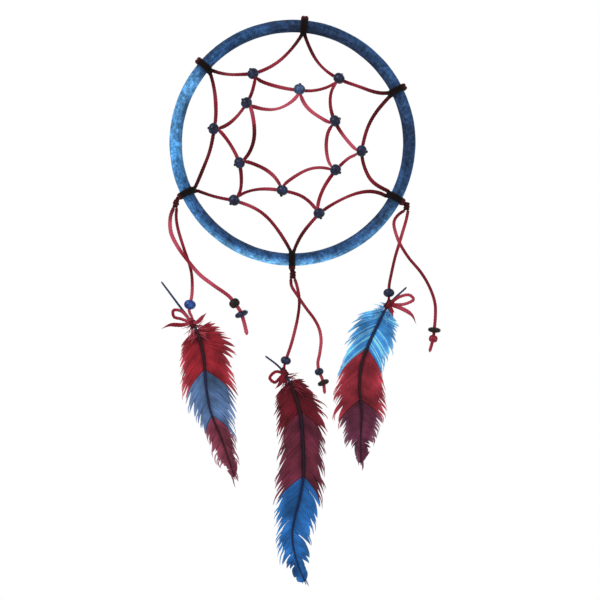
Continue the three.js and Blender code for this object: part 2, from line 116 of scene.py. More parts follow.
bpy.ops.object.select_all(action="DESELECT")
bpy.ops.mesh.primitive_circle_add(
    vertices=96, radius=FLOOR_RADIUS, fill_type="NGON", location=(0, 0, FLOOR_HEIGHT)
)
floor = bpy.context.object
floor.name = "floor"
floor_finish, _, floor_shader = finish_nodes("pale_floor")
floor_shader.inputs["Base Color"].default_value = (0.82, 0.82, 0.81, 1)
floor_shader.inputs["Roughness"].default_value = 0.9
floor.data.materials.append(floor_finish)

# ------------------------------------------------------------------ hoop
# One round wooden rod, bent to a ring and glued end to end. It is stained by hand in uneven
# washes of blue, so the grain shows lengthwise, navy at the top and right. Its paler left side and
# the pale outer edges low down are painted highlights, laid into the stain colour.
MM = 0.001
HOOP_RADIUS = 0.0759
HOOP_SECTION = 0.0041
HOOP_STEPS = 480
HOOP_SIDES = 40

# Six strengths of the blue stain, laid on by hand. The three palest also serve as painted highlights.
NAVY_WASH = srgb(40, 60, 94)
DUSK_WASH = srgb(44, 72, 110)
BLUE_WASH = srgb(48, 90, 142)
BRIGHT_HIGHLIGHT_WASH = srgb(64, 130, 190)
SKY_HIGHLIGHT_WASH = srgb(88, 150, 204)
PALE_HIGHLIGHT_WASH = srgb(116, 188, 240)

# Anticlockwise degrees from +X: the stain on the ring's inner side, its face and its outer side.
# The pale stops on the left and on the outer edges low down are painted highlights.
HOOP_WASHES_AND_HIGHLIGHTS = [
    (0, NAVY_WASH, NAVY_WASH, DUSK_WASH),
    (25, NAVY_WASH, DUSK_WASH, BLUE_WASH),
    (50, NAVY_WASH, DUSK_WASH, BLUE_WASH),
    (90, NAVY_WASH, NAVY_WASH, DUSK_WASH),
    (115, DUSK_WASH, BLUE_WASH, DUSK_WASH),
    (140, BLUE_WASH, BLUE_WASH, DUSK_WASH),
    (150, SKY_HIGHLIGHT_WASH, SKY_HIGHLIGHT_WASH, SKY_HIGHLIGHT_WASH),
    (165, DUSK_WASH, SKY_HIGHLIGHT_WASH, SKY_HIGHLIGHT_WASH),
    (185, SKY_HIGHLIGHT_WASH, BRIGHT_HIGHLIGHT_WASH, SKY_HIGHLIGHT_WASH),
    (210, DUSK_WASH, BLUE_WASH, BRIGHT_HIGHLIGHT_WASH),
    (240, NAVY_WASH, BLUE_WASH, PALE_HIGHLIGHT_WASH),
    (270, DUSK_WASH, BLUE_WASH, PALE_HIGHLIGHT_WASH),
    (295, DUSK_WASH, BLUE_WASH, SKY_HIGHLIGHT_WASH),
    (320, DUSK_WASH, DUSK_WASH, SKY_HIGHLIGHT_WASH),
    (340, BLUE_WASH, DUSK_WASH, BLUE_WASH),
]


def mixed(first, second, share):
    """A colour or any other row of numbers between two."""
    return tuple(a + (b - a) * share for a, b in zip(first, second))


def stain_and_highlight_at(degrees, outward):
    """The stain, with its painted highlights, at an angle round the ring, with outward from -1 inside to 1
    outside.
    """
    turns = HOOP_WASHES_AND_HIGHLIGHTS + [(360, *HOOP_WASHES_AND_HIGHLIGHTS[0][1:])]
    for here, after in zip(turns, turns[1:]):
        if here[0] <= degrees <= after[0]:
            share = (degrees - here[0]) / (after[0] - here[0])
            inner, face, outer = (mixed(a, b, share) for a, b in zip(here[1:], after[1:]))
            wash = mixed(face, outer if outward > 0 else inner, abs(outward))
            depth = 0.70 + 0.75 * max(wash)
            return tuple(channel * depth for channel in wash)


def attribute(mesh, name, kind, rows):
    """Writes one row of numbers for each of a mesh's points."""
    layer = mesh.attributes.new(name, kind, "POINT")
    field = "color" if kind == "FLOAT_COLOR" else "vector"
    layer.data.foreach_set(field, [number for row in rows for number in row])


bpy.ops.object.select_all(action="DESELECT")
bpy.ops.mesh.primitive_torus_add(
    major_radius=HOOP_RADIUS,
    minor_radius=HOOP_SECTION,
    major_segments=HOOP_STEPS,
    minor_segments=HOOP_SIDES,
    location=hoop_middle,
    rotation=(math.pi / 2, 0, 0),
)
hoop = bpy.context.object
hoop.name = "stained_hoop"
bpy.ops.object.transform_apply(location=True, rotation=True, scale=True)
bpy.ops.object.shade_smooth()

# The rod was rounded by hand, so it is a little thicker and thinner along its length.
hand_rounding = bpy.data.textures.new("hand_rounding", "CLOUDS")
hand_rounding.noise_scale = 0.014
hand_rounding.noise_depth = 3
rounding = hoop.modifiers.new("hand_rounding", "DISPLACE")
rounding.texture = hand_rounding
rounding.texture_coords = "LOCAL"
rounding.strength = 0.0005
rounding.mid_level = 0.5
bpy.ops.object.modifier_apply(modifier="hand_rounding")

# The grain follows the ring, so its noise is read from a place that hardly changes along it.
GRAIN_STRETCH = 0.10
stains_and_highlights = []
grains = []
for point in hoop.data.vertices:
    flat = Vector((point.co.x - hoop_middle.x, point.co.z - hoop_middle.z))
    outward = (flat.length - HOOP_RADIUS) / HOOP_SECTION
    degrees = math.degrees(math.atan2(flat.y, flat.x)) % 360
    # The stain colour, with painted highlights on the left and on the outer edges low down.
    stains_and_highlights.append((*stain_and_highlight_at(degrees, max(-1, min(1, outward))), 1))
    grains.append((
        flat.x * GRAIN_STRETCH + outward * HOOP_SECTION,
        flat.y * GRAIN_STRETCH + point.co.y,
        point.co.y - outward * HOOP_SECTION,
    ))
attribute(hoop.data, "stain_and_highlight", "FLOAT_COLOR", stains_and_highlights)
attribute(hoop.data, "grain", "FLOAT_VECTOR", grains)


def noise_node(tree, place, scale, detail, roughness=0.6):
    """A noise pattern read from a place socket."""
    node = tree.nodes.new("ShaderNodeTexNoise")
    node.inputs["Scale"].default_value = scale
    node.inputs["Detail"].default_value = detail
    node.inputs["Roughness"].default_value = roughness
    tree.links.new(place, node.inputs["Vector"])
    return node.outputs["Fac"]


def ramp_node(tree, factor, stops):
    """A colour ramp with stops given as (place, grey value or colour)."""
    node = tree.nodes.new("ShaderNodeValToRGB")
    tree.links.new(factor, node.inputs["Fac"])
    ramp = node.color_ramp
    while len(ramp.elements) < len(stops):
        ramp.elements.new(0.5)
    for element, (place, value) in zip(ramp.elements, stops):
        element.position = place
        element.color = (*value, 1) if isinstance(value, tuple) else (value, value, value, 1)
    return node.outputs["Color"]


def multiply_node(tree, first, second, share=1.0):
    """One colour laid over another, as a wash."""
    node = tree.nodes.new("ShaderNodeMix")
    node.data_type = "RGBA"
    node.blend_type = "MULTIPLY"
    node.inputs["Factor"].default_value = share
    tree.links.new(first, node.inputs["A"])
    tree.links.new(second, node.inputs["B"])
    return node.outputs["Result"]


def attribute_node(tree, name):
    node = tree.nodes.new("ShaderNodeAttribute")
    node.attribute_name = name
    return node


def object_place(tree):
    return tree.nodes.new("ShaderNodeTexCoord").outputs["Object"]


def bump_node(tree, height, distance, strength, shader):
    """Relief of a given height in metres on a shader."""
    node = tree.nodes.new("ShaderNodeBump")
    node.inputs["Distance"].default_value = distance
    node.inputs["Strength"].default_value = strength
    tree.links.new(height, node.inputs["Height"])
    tree.links.new(node.outputs["Normal"], shader.inputs["Normal"])


def hoop_stain():
    material, tree, shader = finish_nodes("hoop_stain")
    grain_place = attribute_node(tree, "grain").outputs["Vector"]
    streaks = noise_node(tree, grain_place, 900, 6, 0.65)
    washes = noise_node(tree, object_place(tree), 120, 6, 0.68)
    clots = noise_node(tree, object_place(tree), 420, 5, 0.7)
    grit = noise_node(tree, object_place(tree), 1100, 3, 0.7)
    patterns = [
        (washes, [(0.34, 0.5), (0.5, 1.0), (0.64, 1.6)], 1.0),
        (clots, [(0.38, 0.5), (0.5, 1.0), (0.64, 1.55)], 0.85),
        (streaks, [(0.34, 0.45), (0.5, 1.0), (0.64, 1.55)], 0.6),
        (grit, [(0.38, 0.55), (0.52, 1.0), (0.66, 1.4)], 0.7),
    ]
    # The stain attribute carries the painted highlights as well as the stain.
    colour = attribute_node(tree, "stain_and_highlight").outputs["Color"]
    for pattern, stops, share in patterns:
        colour = multiply_node(tree, colour, ramp_node(tree, pattern, stops), share)
    tree.links.new(colour, shader.inputs["Base Color"])
    rough = ramp_node(tree, streaks, [(0.3, 0.8), (0.7, 0.6)])
    tree.links.new(rough, shader.inputs["Roughness"])
    shader.inputs["Specular IOR Level"].default_value = 0.12
    shader.inputs["Coat Weight"].default_value = 0.04
    shader.inputs["Coat Roughness"].default_value = 0.35
    bump_node(tree, streaks, 0.0002, 0.7, shader)
    return material


hoop.data.materials.append(hoop_stain())
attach(hoop, "frame")
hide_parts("hoop")

# ------------------------------------------------------------------ web cords
# Three rows of one crimson cotton cord, twisted from three plies. The first row is hitched to the
# hoop at six places by two turns side by side, and each next row hangs on the row before it.
CORD_RADIUS = 0.00108
CORD_SIDES = 18
CORD_STEP = 0.0003
PLIES = 3
PLY_DEPTH = 0.13
TWIST_LENGTH = 0.0058
HITCH_REACH = 5.55
HITCH_HALF_WIDTH = 0.98
LEG_START = (6.9, 1, 1.7)
BAR_END = 322
BAR_MIDDLE = 332
FRONT_LAYER = -2.4
PASSING_LAYER = 2.55
BACK_LAYER = 5
HITCH_LAYER = 1

CRIMSON = srgb(150, 34, 52)
ROSE = srgb(206, 84, 106)
DEEP_RED = srgb(88, 18, 26)
UMBER = srgb(19, 9, 7)

# Where the first row is hitched to the hoop, in degrees anticlockwise from +X.
HITCHES = {
    "top": 84.3, "upper_left": 138.9, "lower_left": 205.5,
    "bottom": 269.8, "lower_right": 331.8, "upper_right": 26.6,
}
OUTER_BEADS = ("top_left", "left", "bottom_left", "bottom_right", "right", "top_right")
INNER_BEADS = ("top", "upper_right", "lower_right", "bottom", "lower_left", "upper_left")


def from_middle(x, y, z):
    """A place given in millimetres from the hoop's middle, in metres in the shared frame."""
    return hoop_middle + Vector((x, y, z)) * MM


def box_middle(node):
    low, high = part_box(node)
    return (low + high) / 2


def bead_place(node):
    """A web bead's place in the web, [x, z] in millimetres from the hoop's middle."""
    middle = (box_middle(node) - hoop_middle) / MM
    return (middle.x, middle.z)


outer_beads = {name: bead_place(f"web_bead_outer_{n}") for n, name in enumerate(OUTER_BEADS, 1)}
inner_beads = {name: bead_place(f"web_bead_inner_{n}") for n, name in enumerate(INNER_BEADS, 1)}


def hitch(name):
    """A cow hitch: each leg goes up behind the hoop, over it and down its front, and a short bar in
    front of the legs joins the two turns."""
    turn = math.radians(HITCHES[name])
    outward = Vector((math.cos(turn), 0, math.sin(turn)))
    across = Vector((-outward.z, 0, outward.x))
    middle = outward * (HOOP_RADIUS / MM)

    def at(inward, depth, side):
        return middle - outward * inward + Vector((0, depth, 0)) + across * side

    def wound(degrees, side):
        angle = math.radians(degrees)
        return at(HITCH_REACH * math.cos(angle), HITCH_REACH * math.sin(angle), side)

    def leg(side):
        inward, depth, aside = LEG_START
        points = [at(inward, depth, side * aside)]
        points += [wound(degrees, side * HITCH_HALF_WIDTH) for degrees in range(30, 301, 30)]
        points.append(wound(BAR_END, side * 0.95))
        return points

    return [from_middle(*point) for point in [*leg(-1), wound(BAR_MIDDLE, 0), *reversed(leg(1))]]


# The cord of the row below goes out through the bead, over the cord that it hangs on and back
# behind it. Outward distance from the bead's middle, and depth.
CROSSING = [
    (-2.6, FRONT_LAYER), (0, FRONT_LAYER), (2.3, FRONT_LAYER), (3.1, -1.9), (3.35, -0.9),
    (3.05, 0.6), (2.4, 2.2), (1.3, 3.8), (0, 4.4),
]


def crossing(bead):
    x, z = bead
    far = math.hypot(x, z)
    return [from_middle(x * (1 + out / far), depth, z * (1 + out / far)) for out, depth in CROSSING]


def passing(bead):
    x, z = bead
    return from_middle(x, PASSING_LAYER, z)


def run(start, end, places):
    """Points between two knots, whose depth changes evenly from one to the other."""
    gaps = len(places) + 1
    return [
        from_middle(x, start + (end - start) * index / gaps, z)
        for index, (x, z) in enumerate(places, 1)
    ]


def pulled_in(places):
    return run(HITCH_LAYER, PASSING_LAYER, places)


def let_out(places):
    return run(PASSING_LAYER, HITCH_LAYER, places)


def from_crossing(places):
    return run(BACK_LAYER, PASSING_LAYER, places)


def to_crossing(places):
    return run(PASSING_LAYER, FRONT_LAYER, places)


def between(places):
    return run(BACK_LAYER, FRONT_LAYER, places)


outer_row = [
    *hitch("top"), *pulled_in([(-1, 60.5), (-11.5, 51), (-20.5, 46.8)]),
    passing(outer_beads["top_left"]), *let_out([(-30, 45), (-38, 44.3), (-45, 44.8)]),
    *hitch("upper_left"), *pulled_in([(-50.7, 34.5), (-49.8, 23), (-50, 14)]),
    passing(outer_beads["left"]), *let_out([(-51.7, 4.5), (-53.6, -5), (-58.5, -17.5)]),
    *hitch("lower_left"), *pulled_in([(-53, -34.4), (-45, -36.2)]),
    passing(outer_beads["bottom_left"]),
    *let_out([(-33.5, -38.8), (-27.5, -40.8), (-18, -46.6), (-8.3, -58.3)]),
    *hitch("bottom"), *pulled_in([(5.2, -60.5), (13.2, -50.5)]),
    passing(outer_beads["bottom_right"]),
    *let_out([(21.5, -42.6), (31.7, -36.8), (41.7, -32.6), (53.5, -31.2)]),
    *hitch("lower_right"), *pulled_in([(51.5, -25.5), (46.8, -15.7), (45, -9.5)]),
    passing(outer_beads["right"]), *let_out([(45.8, -1), (49.1, 11), (55, 21)]),
    *hitch("upper_right"), *pulled_in([(54.5, 32.5), (44.2, 36.6), (34.5, 39.7)]),
    passing(outer_beads["top_right"]), *let_out([(26.5, 43.8), (19.9, 48.4), (13.7, 56.4)]),
]
middle_row = [
    *crossing(outer_beads["top_left"]), *from_crossing([(-20, 40.3), (-13.1, 37.8), (-0.5, 34.9)]),
    passing(inner_beads["top"]), *to_crossing([(9, 33.6), (19.3, 34.6)]),
    *crossing(outer_beads["top_right"]), *from_crossing([(25.2, 34), (24.2, 27.8), (25.8, 18)]),
    passing(inner_beads["upper_right"]), *to_crossing([(29.8, 9.4), (34.3, 2.9)]),
    *crossing(outer_beads["right"]), *from_crossing([(39.5, -8.2), (35.5, -10), (31, -14.8)]),
    passing(inner_beads["lower_right"]), *to_crossing([(25.1, -21.6), (18.9, -31.8)]),
    *crossing(outer_beads["bottom_right"]), *from_crossing([(12.4, -39.4), (6.9, -34.4), (-2.5, -31.6)]),
    passing(inner_beads["bottom"]), *to_crossing([(-11, -30.2), (-22.5, -30), (-29.5, -31.8)]),
    *crossing(outer_beads["bottom_left"]), *from_crossing([(-33.5, -29.5), (-33.2, -23.5), (-33.6, -17.5)]),
    passing(inner_beads["lower_left"]), *to_crossing([(-36, -9), (-40.4, -0.8)]),
    *crossing(outer_beads["left"]), *from_crossing([(-43.5, 11.6), (-39.1, 14.2), (-32.5, 22)]),
    passing(inner_beads["upper_left"]), *to_crossing([(-27.2, 29.8), (-25.5, 35.5)]),
]
inner_row = [
    *crossing(inner_beads["top"]), *between([(9.4, 22.9), (16.8, 17.2)]),
    *crossing(inner_beads["upper_right"]), *between([(22.4, 5), (22.4, -8.5)]),
    *crossing(inner_beads["lower_right"]), *between([(14.3, -15.7), (4.4, -20)]),
    *crossing(inner_beads["bottom"]), *between([(-13.1, -20), (-21.7, -15.1)]),
    *crossing(inner_beads["lower_left"]), *between([(-26.4, -3.3), (-24.5, 7.9)]),
    *crossing(inner_beads["upper_left"]), *between([(-13.1, 21.4), (-3.1, 24.7)]),
]


def smooth_line(points, step, closed=False):
    """Evenly spaced points on one smooth curve through the given points."""
    count = len(points)
    fine = []
    for span in range(count if closed else count - 1):
        here, after = points[span], points[(span + 1) % count]
        before = points[span - 1] if closed or span > 0 else here * 2 - after
        beyond = points[(span + 2) % count] if closed or span + 2 < count else after * 2 - here
        k1 = (here - before).length ** 0.5
        k2 = k1 + (after - here).length ** 0.5
        k3 = k2 + (beyond - after).length ** 0.5
        parts = max(4, int((after - here).length / step * 1.5))
        for part in range(parts):
            k = k1 + (k2 - k1) * part / parts
            a1 = before.lerp(here, k / k1)
            a2 = here.lerp(after, (k - k1) / (k2 - k1))
            a3 = after.lerp(beyond, (k - k2) / (k3 - k2))
            b1 = a1.lerp(a2, k / k2)
            b2 = a2.lerp(a3, (k - k1) / (k3 - k1))
            fine.append(b1.lerp(b2, (k - k1) / (k2 - k1)))
    fine.append(points[0] if closed else points[-1])
    lengths = [0]
    for a, b in zip(fine, fine[1:]):
        lengths.append(lengths[-1] + (b - a).length)
    gaps = max(4, round(lengths[-1] / step))
    line = []
    index = 0
    for gap in range(gaps + (0 if closed else 1)):
        wanted = lengths[-1] * gap / gaps
        while index < len(fine) - 2 and lengths[index + 1] < wanted:
            index += 1
        share = (wanted - lengths[index]) / max(lengths[index + 1] - lengths[index], 1e-9)
        line.append(fine[index].lerp(fine[index + 1], share))
    return line


def new_shell():
    return {"points": [], "faces": [], "dye_and_shade": [], "fibre": []}


def ring_turns(line, closed):
    """The direction of a line at each of its points, and a side that stays as level as it can."""
    count = len(line)
    forward = []
    for index in range(count):
        before = line[index - 1] if closed or index > 0 else line[0]
        after = line[(index + 1) % count] if closed or index < count - 1 else line[-1]
        forward.append((after - before).normalized())
    side = forward[0].orthogonal().normalized()
    ring_sides = [side]
    for old, new in zip(forward, forward[1:]):
        side = old.rotation_difference(new) @ side
        side = (side - new * side.dot(new)).normalized()
        ring_sides.append(side)
    return forward, ring_sides


def lay_cord(shell, line, radius_at, dye_at, closed=False, sides=CORD_SIDES):
    """Adds a twisted cord along a line to a shell, with painted shade in the grooves between its plies.
    radius_at and dye_at are asked at each ring, with its share of the length and its place."""
    count = len(line)
    forward, ring_sides = ring_turns(line, closed)
    length = sum((b - a).length for a, b in zip(line, line[1:]))
    twist = 2 * math.pi * length / TWIST_LENGTH
    if closed:
        last = forward[-1].rotation_difference(forward[0]) @ ring_sides[-1]
        gap = math.atan2(forward[0].dot(ring_sides[0].cross(last)), ring_sides[0].dot(last))
        twist = 2 * math.pi * round(length / TWIST_LENGTH) - gap
    first = len(shell["points"])
    for index, place in enumerate(line):
        share = index / (count if closed else count - 1)
        up = forward[index].cross(ring_sides[index])
        radius = radius_at(share, place)
        dye_and_shade = dye_at(share, place)
        for number in range(sides):
            angle = 2 * math.pi * number / sides
            ply = abs(math.cos(PLIES / 2 * angle)) ** 0.7
            reach = radius * (1 - PLY_DEPTH * (1 - ply))
            turned = angle + twist * share
            offset = ring_sides[index] * math.cos(turned) + up * math.sin(turned)
            shell["points"].append(place + offset * reach)
            # The grooves between the plies are darkened in the dye: painted shade.
            shade = 0.62 + 0.38 * ply
            shell["dye_and_shade"].append((dye_and_shade[0] * shade, dye_and_shade[1] * shade, dye_and_shade[2] * shade, 1))
            shell["fibre"].append((math.cos(angle), math.sin(angle), share * length * 100))
    for index in range(count if closed else count - 1):
        ring = first + index * sides
        after = first + (index + 1) % count * sides
        for number in range(sides):
            beside = (number + 1) % sides
            shell["faces"].append((ring + number, ring + beside, after + beside, after + number))
    if not closed:
        shell["faces"].append(tuple(first + number for number in reversed(range(sides))))
        shell["faces"].append(tuple(first + (count - 1) * sides + number for number in range(sides)))


def shell_object(name, shell, material):
    mesh = bpy.data.meshes.new(name)
    mesh.from_pydata(shell["points"], [], shell["faces"])
    attribute(mesh, "dye_and_shade", "FLOAT_COLOR", shell["dye_and_shade"])
    attribute(mesh, "fibre", "FLOAT_VECTOR", shell["fibre"])
    mesh.polygons.foreach_set("use_smooth", [True] * len(mesh.polygons))
    mesh.materials.append(material)
    piece = bpy.data.objects.new(name, mesh)
    scene.collection.objects.link(piece)
    return piece


def cotton_cord():
    material, tree, shader = finish_nodes("cotton_cord")
    fibre_place = attribute_node(tree, "fibre").outputs["Vector"]
    fibres = noise_node(tree, fibre_place, 9, 4, 0.65)
    fluff = noise_node(tree, object_place(tree), 2600, 3)
    # The dye attribute holds the dye with painted shade in the ply grooves.
    colour = attribute_node(tree, "dye_and_shade").outputs["Color"]
    plies = ramp_node(tree, fibres, [(0.3, 0.6), (0.5, 1.0), (0.72, 1.45)])
    colour = multiply_node(tree, colour, plies, 0.8)
    colour = multiply_node(tree, colour, ramp_node(tree, fluff, [(0.35, 0.75), (0.65, 1.2)]), 0.5)
    tree.links.new(colour, shader.inputs["Base Color"])
    shader.inputs["Roughness"].default_value = 0.9
    shader.inputs["Specular IOR Level"].default_value = 0.15
    shader.inputs["Sheen Weight"].default_value = 0.05
    shader.inputs["Sheen Roughness"].default_value = 0.5
    bump_node(tree, fibres, 0.00012, 0.8, shader)
    return material


cord_finish = cotton_cord()


def slow_tone(place, seed):
    """A slow change from -1 to 1 along a cord, the same each time."""
    return noise.noise(place * 55 + Vector((seed, seed * 0.7, -seed)))


def dyed(place, seed, rose):
    """Crimson that drifts between rose and deep red."""
    tone = slow_tone(place, seed) * 1.6 + rose
    if tone > 0:
        return mixed(CRIMSON, ROSE, min(tone, 1))
    return mixed(CRIMSON, DEEP_RED, min(-tone, 1))


CROSSING_REACH = 0.0052
CROSSING_THIN = 0.6
ROW_FULLNESS = 1.1
ROW_UNEVENNESS = 0.30
HITCH_THICK = 1.08
DARK_REACH = 0.0066
DARK_FADE = 0.014
RED_FROM = 0.0032
RED_FADE = 0.0014
NAVY_STAIN = srgb(20, 22, 38)
STAIN_FROM = 0.0016
STAIN_HALF_WIDTH = 0.0025


def hoop_distance(place):
    """How far outside the hoop's own centre line a place is, outwards and in all."""
    offset = place - hoop_middle
    outward = math.hypot(offset.x, offset.z) - HOOP_RADIUS
    return outward, math.hypot(outward, offset.y)


def row_radius(seed, beads, hitched):
    """A row's cord is drawn thin where it wraps a bead's rim, and lies fat and flat over the hoop."""
    places = [from_middle(x, 0, z) for x, z in beads.values()]

    def radius_at(share, place):
        radius = CORD_RADIUS * (ROW_FULLNESS + ROW_UNEVENNESS * slow_tone(place, seed))
        near = min(math.hypot(place.x - p.x, place.z - p.z) for p in places)
        if near < CROSSING_REACH and not hitched:
            radius *= CROSSING_THIN + (1 - CROSSING_THIN) * (near / CROSSING_REACH) ** 2
        if hitched and hoop_distance(place)[1] < DARK_REACH:
            radius *= HITCH_THICK
        return radius
    return radius_at


def outer_dye(share, place):
    """The first row is stained nearly black round the hoop, where it was pulled tight, and is redder
    on the hoop's outer side."""
    colour = dyed(place, 1, -0.35)
    outward, away = hoop_distance(place)
    if away < DARK_REACH:
        return mixed(UMBER, DEEP_RED, max(0, min(1, (outward - RED_FROM) / RED_FADE)))
    fade = min(1, (away - DARK_REACH) / DARK_FADE)
    return mixed(mixed(UMBER, DEEP_RED, 0.7), colour, fade)


def rim_dye(colour, place, beads):
    """The cord is stained by the bead's navy dye where it wraps the bead's outer rim."""
    offset = place - hoop_middle
    for x, z in beads.values():
        far = math.hypot(x, z)
        outward = (offset.x * x + offset.z * z) / far - far * MM
        aside = abs(offset.x * z - offset.z * x) / far
        if aside < STAIN_HALF_WIDTH and STAIN_FROM < outward < CROSSING_REACH:
            return NAVY_STAIN
    return colour


def middle_dye(share, place):
    return rim_dye(dyed(place, 5, 0.1), place, outer_beads)


def inner_dye(share, place):
    """The third row is palest at its top."""
    colour = dyed(place, 9, 0.75 if place.z - hoop_middle.z > 0.012 else 0.15)
    return rim_dye(colour, place, inner_beads)


HELD_REACH = 0.0075
HELD_FADE = 0.006
EASING_POINTS = 14
EASING_ROUNDS = 3


def eased(line, held):
    """A closed line with its bends eased, except near the places where it is held."""
    count = len(line)
    slack = []
    for place in line:
        nearest = min((place - knot).length for knot in held)
        slack.append(min(1, max(0, (nearest - HELD_REACH) / HELD_FADE)))
    for _ in range(EASING_ROUNDS):
        running = Vector((0, 0, 0))
        for offset in range(-EASING_POINTS, EASING_POINTS + 1):
            running += line[offset % count]
        eased_line = []
        for index in range(count):
            middle = running / (2 * EASING_POINTS + 1)
            eased_line.append(line[index].lerp(middle, slack[index]))
            after = line[(index + EASING_POINTS + 1) % count]
            running += after - line[(index - EASING_POINTS) % count]
        line = eased_line
    return line


hitch_places = []
for degrees in HITCHES.values():
    turn = math.radians(degrees)
    hitch_places.append(hoop_middle + Vector((math.cos(turn), 0, math.sin(turn))) * HOOP_RADIUS)
outer_places = [from_middle(x, 0, z) for x, z in outer_beads.values()]
inner_places = [from_middle(x, 0, z) for x, z in inner_beads.values()]
ROWS = [
    ("web_outer_cord", outer_row, outer_dye, row_radius(2, outer_beads, True), hitch_places),
    ("web_middle_cord", middle_row, middle_dye, row_radius(6, outer_beads, False), outer_places),
    ("web_inner_cord", inner_row, inner_dye, row_radius(10, inner_beads, False), inner_places),
]
for node, points, dye_at, radius_at, held in ROWS:
    shell = new_shell()
    line = eased(smooth_line(points, CORD_STEP, closed=True), held)
    lay_cord(shell, line, radius_at, dye_at, closed=True)
    row = shell_object(f"{node}_twisted", shell, cord_finish)
    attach(row, "frame")
    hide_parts(node)

# ------------------------------------------------------------------ web beads
# Twelve round navy beads, speckled and glossy, one where each cord hangs on the row before it.
# Each is turned with a bore, and the cord below it goes through the bore.
BORE_RADIUS = 0.0015
BEAD_RADIUS = 0.0037
BEAD_HALF_LENGTH = 0.0033
RIM_ROUNDING = 0.00035
FULLNESS = 0.84
OUT_OF_ROUND = 0.035


def turned_bead(name, radius, half_length, fullness=FULLNESS):
    """A bead round the Z axis at the origin: a full flattened ball, cut off at both ends and bored."""
    bpy.ops.object.select_all(action="DESELECT")
    bpy.ops.mesh.primitive_uv_sphere_add(segments=40, ring_count=26, radius=radius, location=(0, 0, 0))
    bead = bpy.context.object
    bead.name = name
    bpy.ops.object.mode_set(mode="EDIT")
    bpy.ops.mesh.select_all(action="SELECT")
    bpy.ops.transform.resize(value=(1, 1, half_length / radius))
    bpy.ops.object.mode_set(mode="OBJECT")
    for point in bead.data.vertices:
        around = math.hypot(point.co.x, point.co.y) / radius
        along = abs(point.co.z) / half_length
        if around > 0.001:
            fuller = around ** fullness / around
            point.co.x *= fuller
            point.co.y *= fuller
        if along > 0.001:
            point.co.z *= along ** fullness / along
    bpy.ops.object.mode_set(mode="EDIT")
    bore_turn = math.acos((BORE_RADIUS / radius) ** (1 / fullness))
    rim_height = half_length * math.sin(bore_turn) ** fullness
    for side in (1, -1):
        bpy.ops.mesh.select_all(action="SELECT")
        bpy.ops.mesh.bisect(
            plane_co=(0, 0, side * rim_height), plane_no=(0, 0, side), clear_outer=True
        )
    bpy.ops.mesh.select_mode(type="VERT")
    bpy.ops.mesh.select_all(action="DESELECT")
    bpy.ops.mesh.select_non_manifold()
    bpy.ops.mesh.bridge_edge_loops(number_cuts=2)
    bpy.ops.mesh.region_to_loop()
    bpy.ops.mesh.bevel(offset=RIM_ROUNDING, segments=3, affect="EDGES")
    bpy.ops.mesh.select_all(action="SELECT")
    bpy.ops.mesh.remove_doubles(threshold=0.000005)
    bpy.ops.mesh.normals_make_consistent(inside=False)
    bpy.ops.object.mode_set(mode="OBJECT")
    bpy.ops.object.shade_smooth()
    return bead


def thread_bead(pattern, name, place, direction, seed, out_of_round=OUT_OF_ROUND):
    """A copy of a bead with its bore along a direction, and a little out of round."""
    bead = pattern.copy()
    bead.data = pattern.data.copy()
    bead.name = name
    scene.collection.objects.link(bead)
    turn = direction.to_track_quat("Z", "Y").to_matrix().to_4x4()
    spin = Matrix.Rotation(seed * 1.3, 4, "Z")
    for point in bead.data.vertices:
        point.co *= 1 + out_of_round * noise.noise(point.co * 380 + Vector((seed * 2.1, 0, 0)))
    bead.data.transform(Matrix.Translation(place) @ turn @ spin)
    return bead


def bead_finish(name, base, fleck, dark, roughness=0.4, coat=0.18):
    """Speckled and glossy, in one colour with paler flecks and darker clouds."""
    material, tree, shader = finish_nodes(name)
    clouds = noise_node(tree, object_place(tree), 420, 4)
    flecks = noise_node(tree, object_place(tree), 2300, 3, 0.7)
    colour = ramp_node(tree, clouds, [(0.34, dark), (0.52, base), (0.75, fleck)])
    speckle = ramp_node(tree, flecks, [(0.42, 0.78), (0.6, 1.15), (0.72, 2.1)])
    tree.links.new(multiply_node(tree, colour, speckle, 0.8), shader.inputs["Base Color"])
    shader.inputs["Roughness"].default_value = roughness
    shader.inputs["Specular IOR Level"].default_value = 0.22
    shader.inputs["Coat Weight"].default_value = coat
    shader.inputs["Coat Roughness"].default_value = 0.12
    bump_node(tree, clouds, 0.0002, 0.25, shader)
    return material


navy_bead = bead_finish("navy_bead", srgb(20, 29, 58), srgb(44, 62, 104), srgb(9, 11, 24))
pale_navy_bead = bead_finish("pale_navy_bead", srgb(46, 68, 108), srgb(84, 110, 150), srgb(22, 32, 62))

web_bead = turned_bead("web_bead", BEAD_RADIUS, BEAD_HALF_LENGTH)
for ring in ("outer", "inner"):
    for number in range(1, 7):
        node = f"web_bead_{ring}_{number}"
        place = box_middle(node)
        direction = place - hoop_middle
        direction.y = 0
        bead = thread_bead(web_bead, f"{node}_turned", place, direction, number + 10 * len(ring))
        bead.data.materials.append(pale_navy_bead if node == "web_bead_inner_1" else navy_bead)
        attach(bead, "frame")
        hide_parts(node)
bpy.data.objects.remove(web_bead)

# ------------------------------------------------------------------ pendant hitches
# Each pendant's two strands come down from the hoop's hitch and are whipped together just below it
# by two tight turns of the same cord, dark from handling.
KNOT_TURNS = 2.3
KNOT_RISE = 1.75
KNOT_MIDDLE_RADIUS = 1.25
KNOT_CORD_RADIUS = 0.00092
WOUND_STEP = 0.00025
CUT_SHARE = 0.03

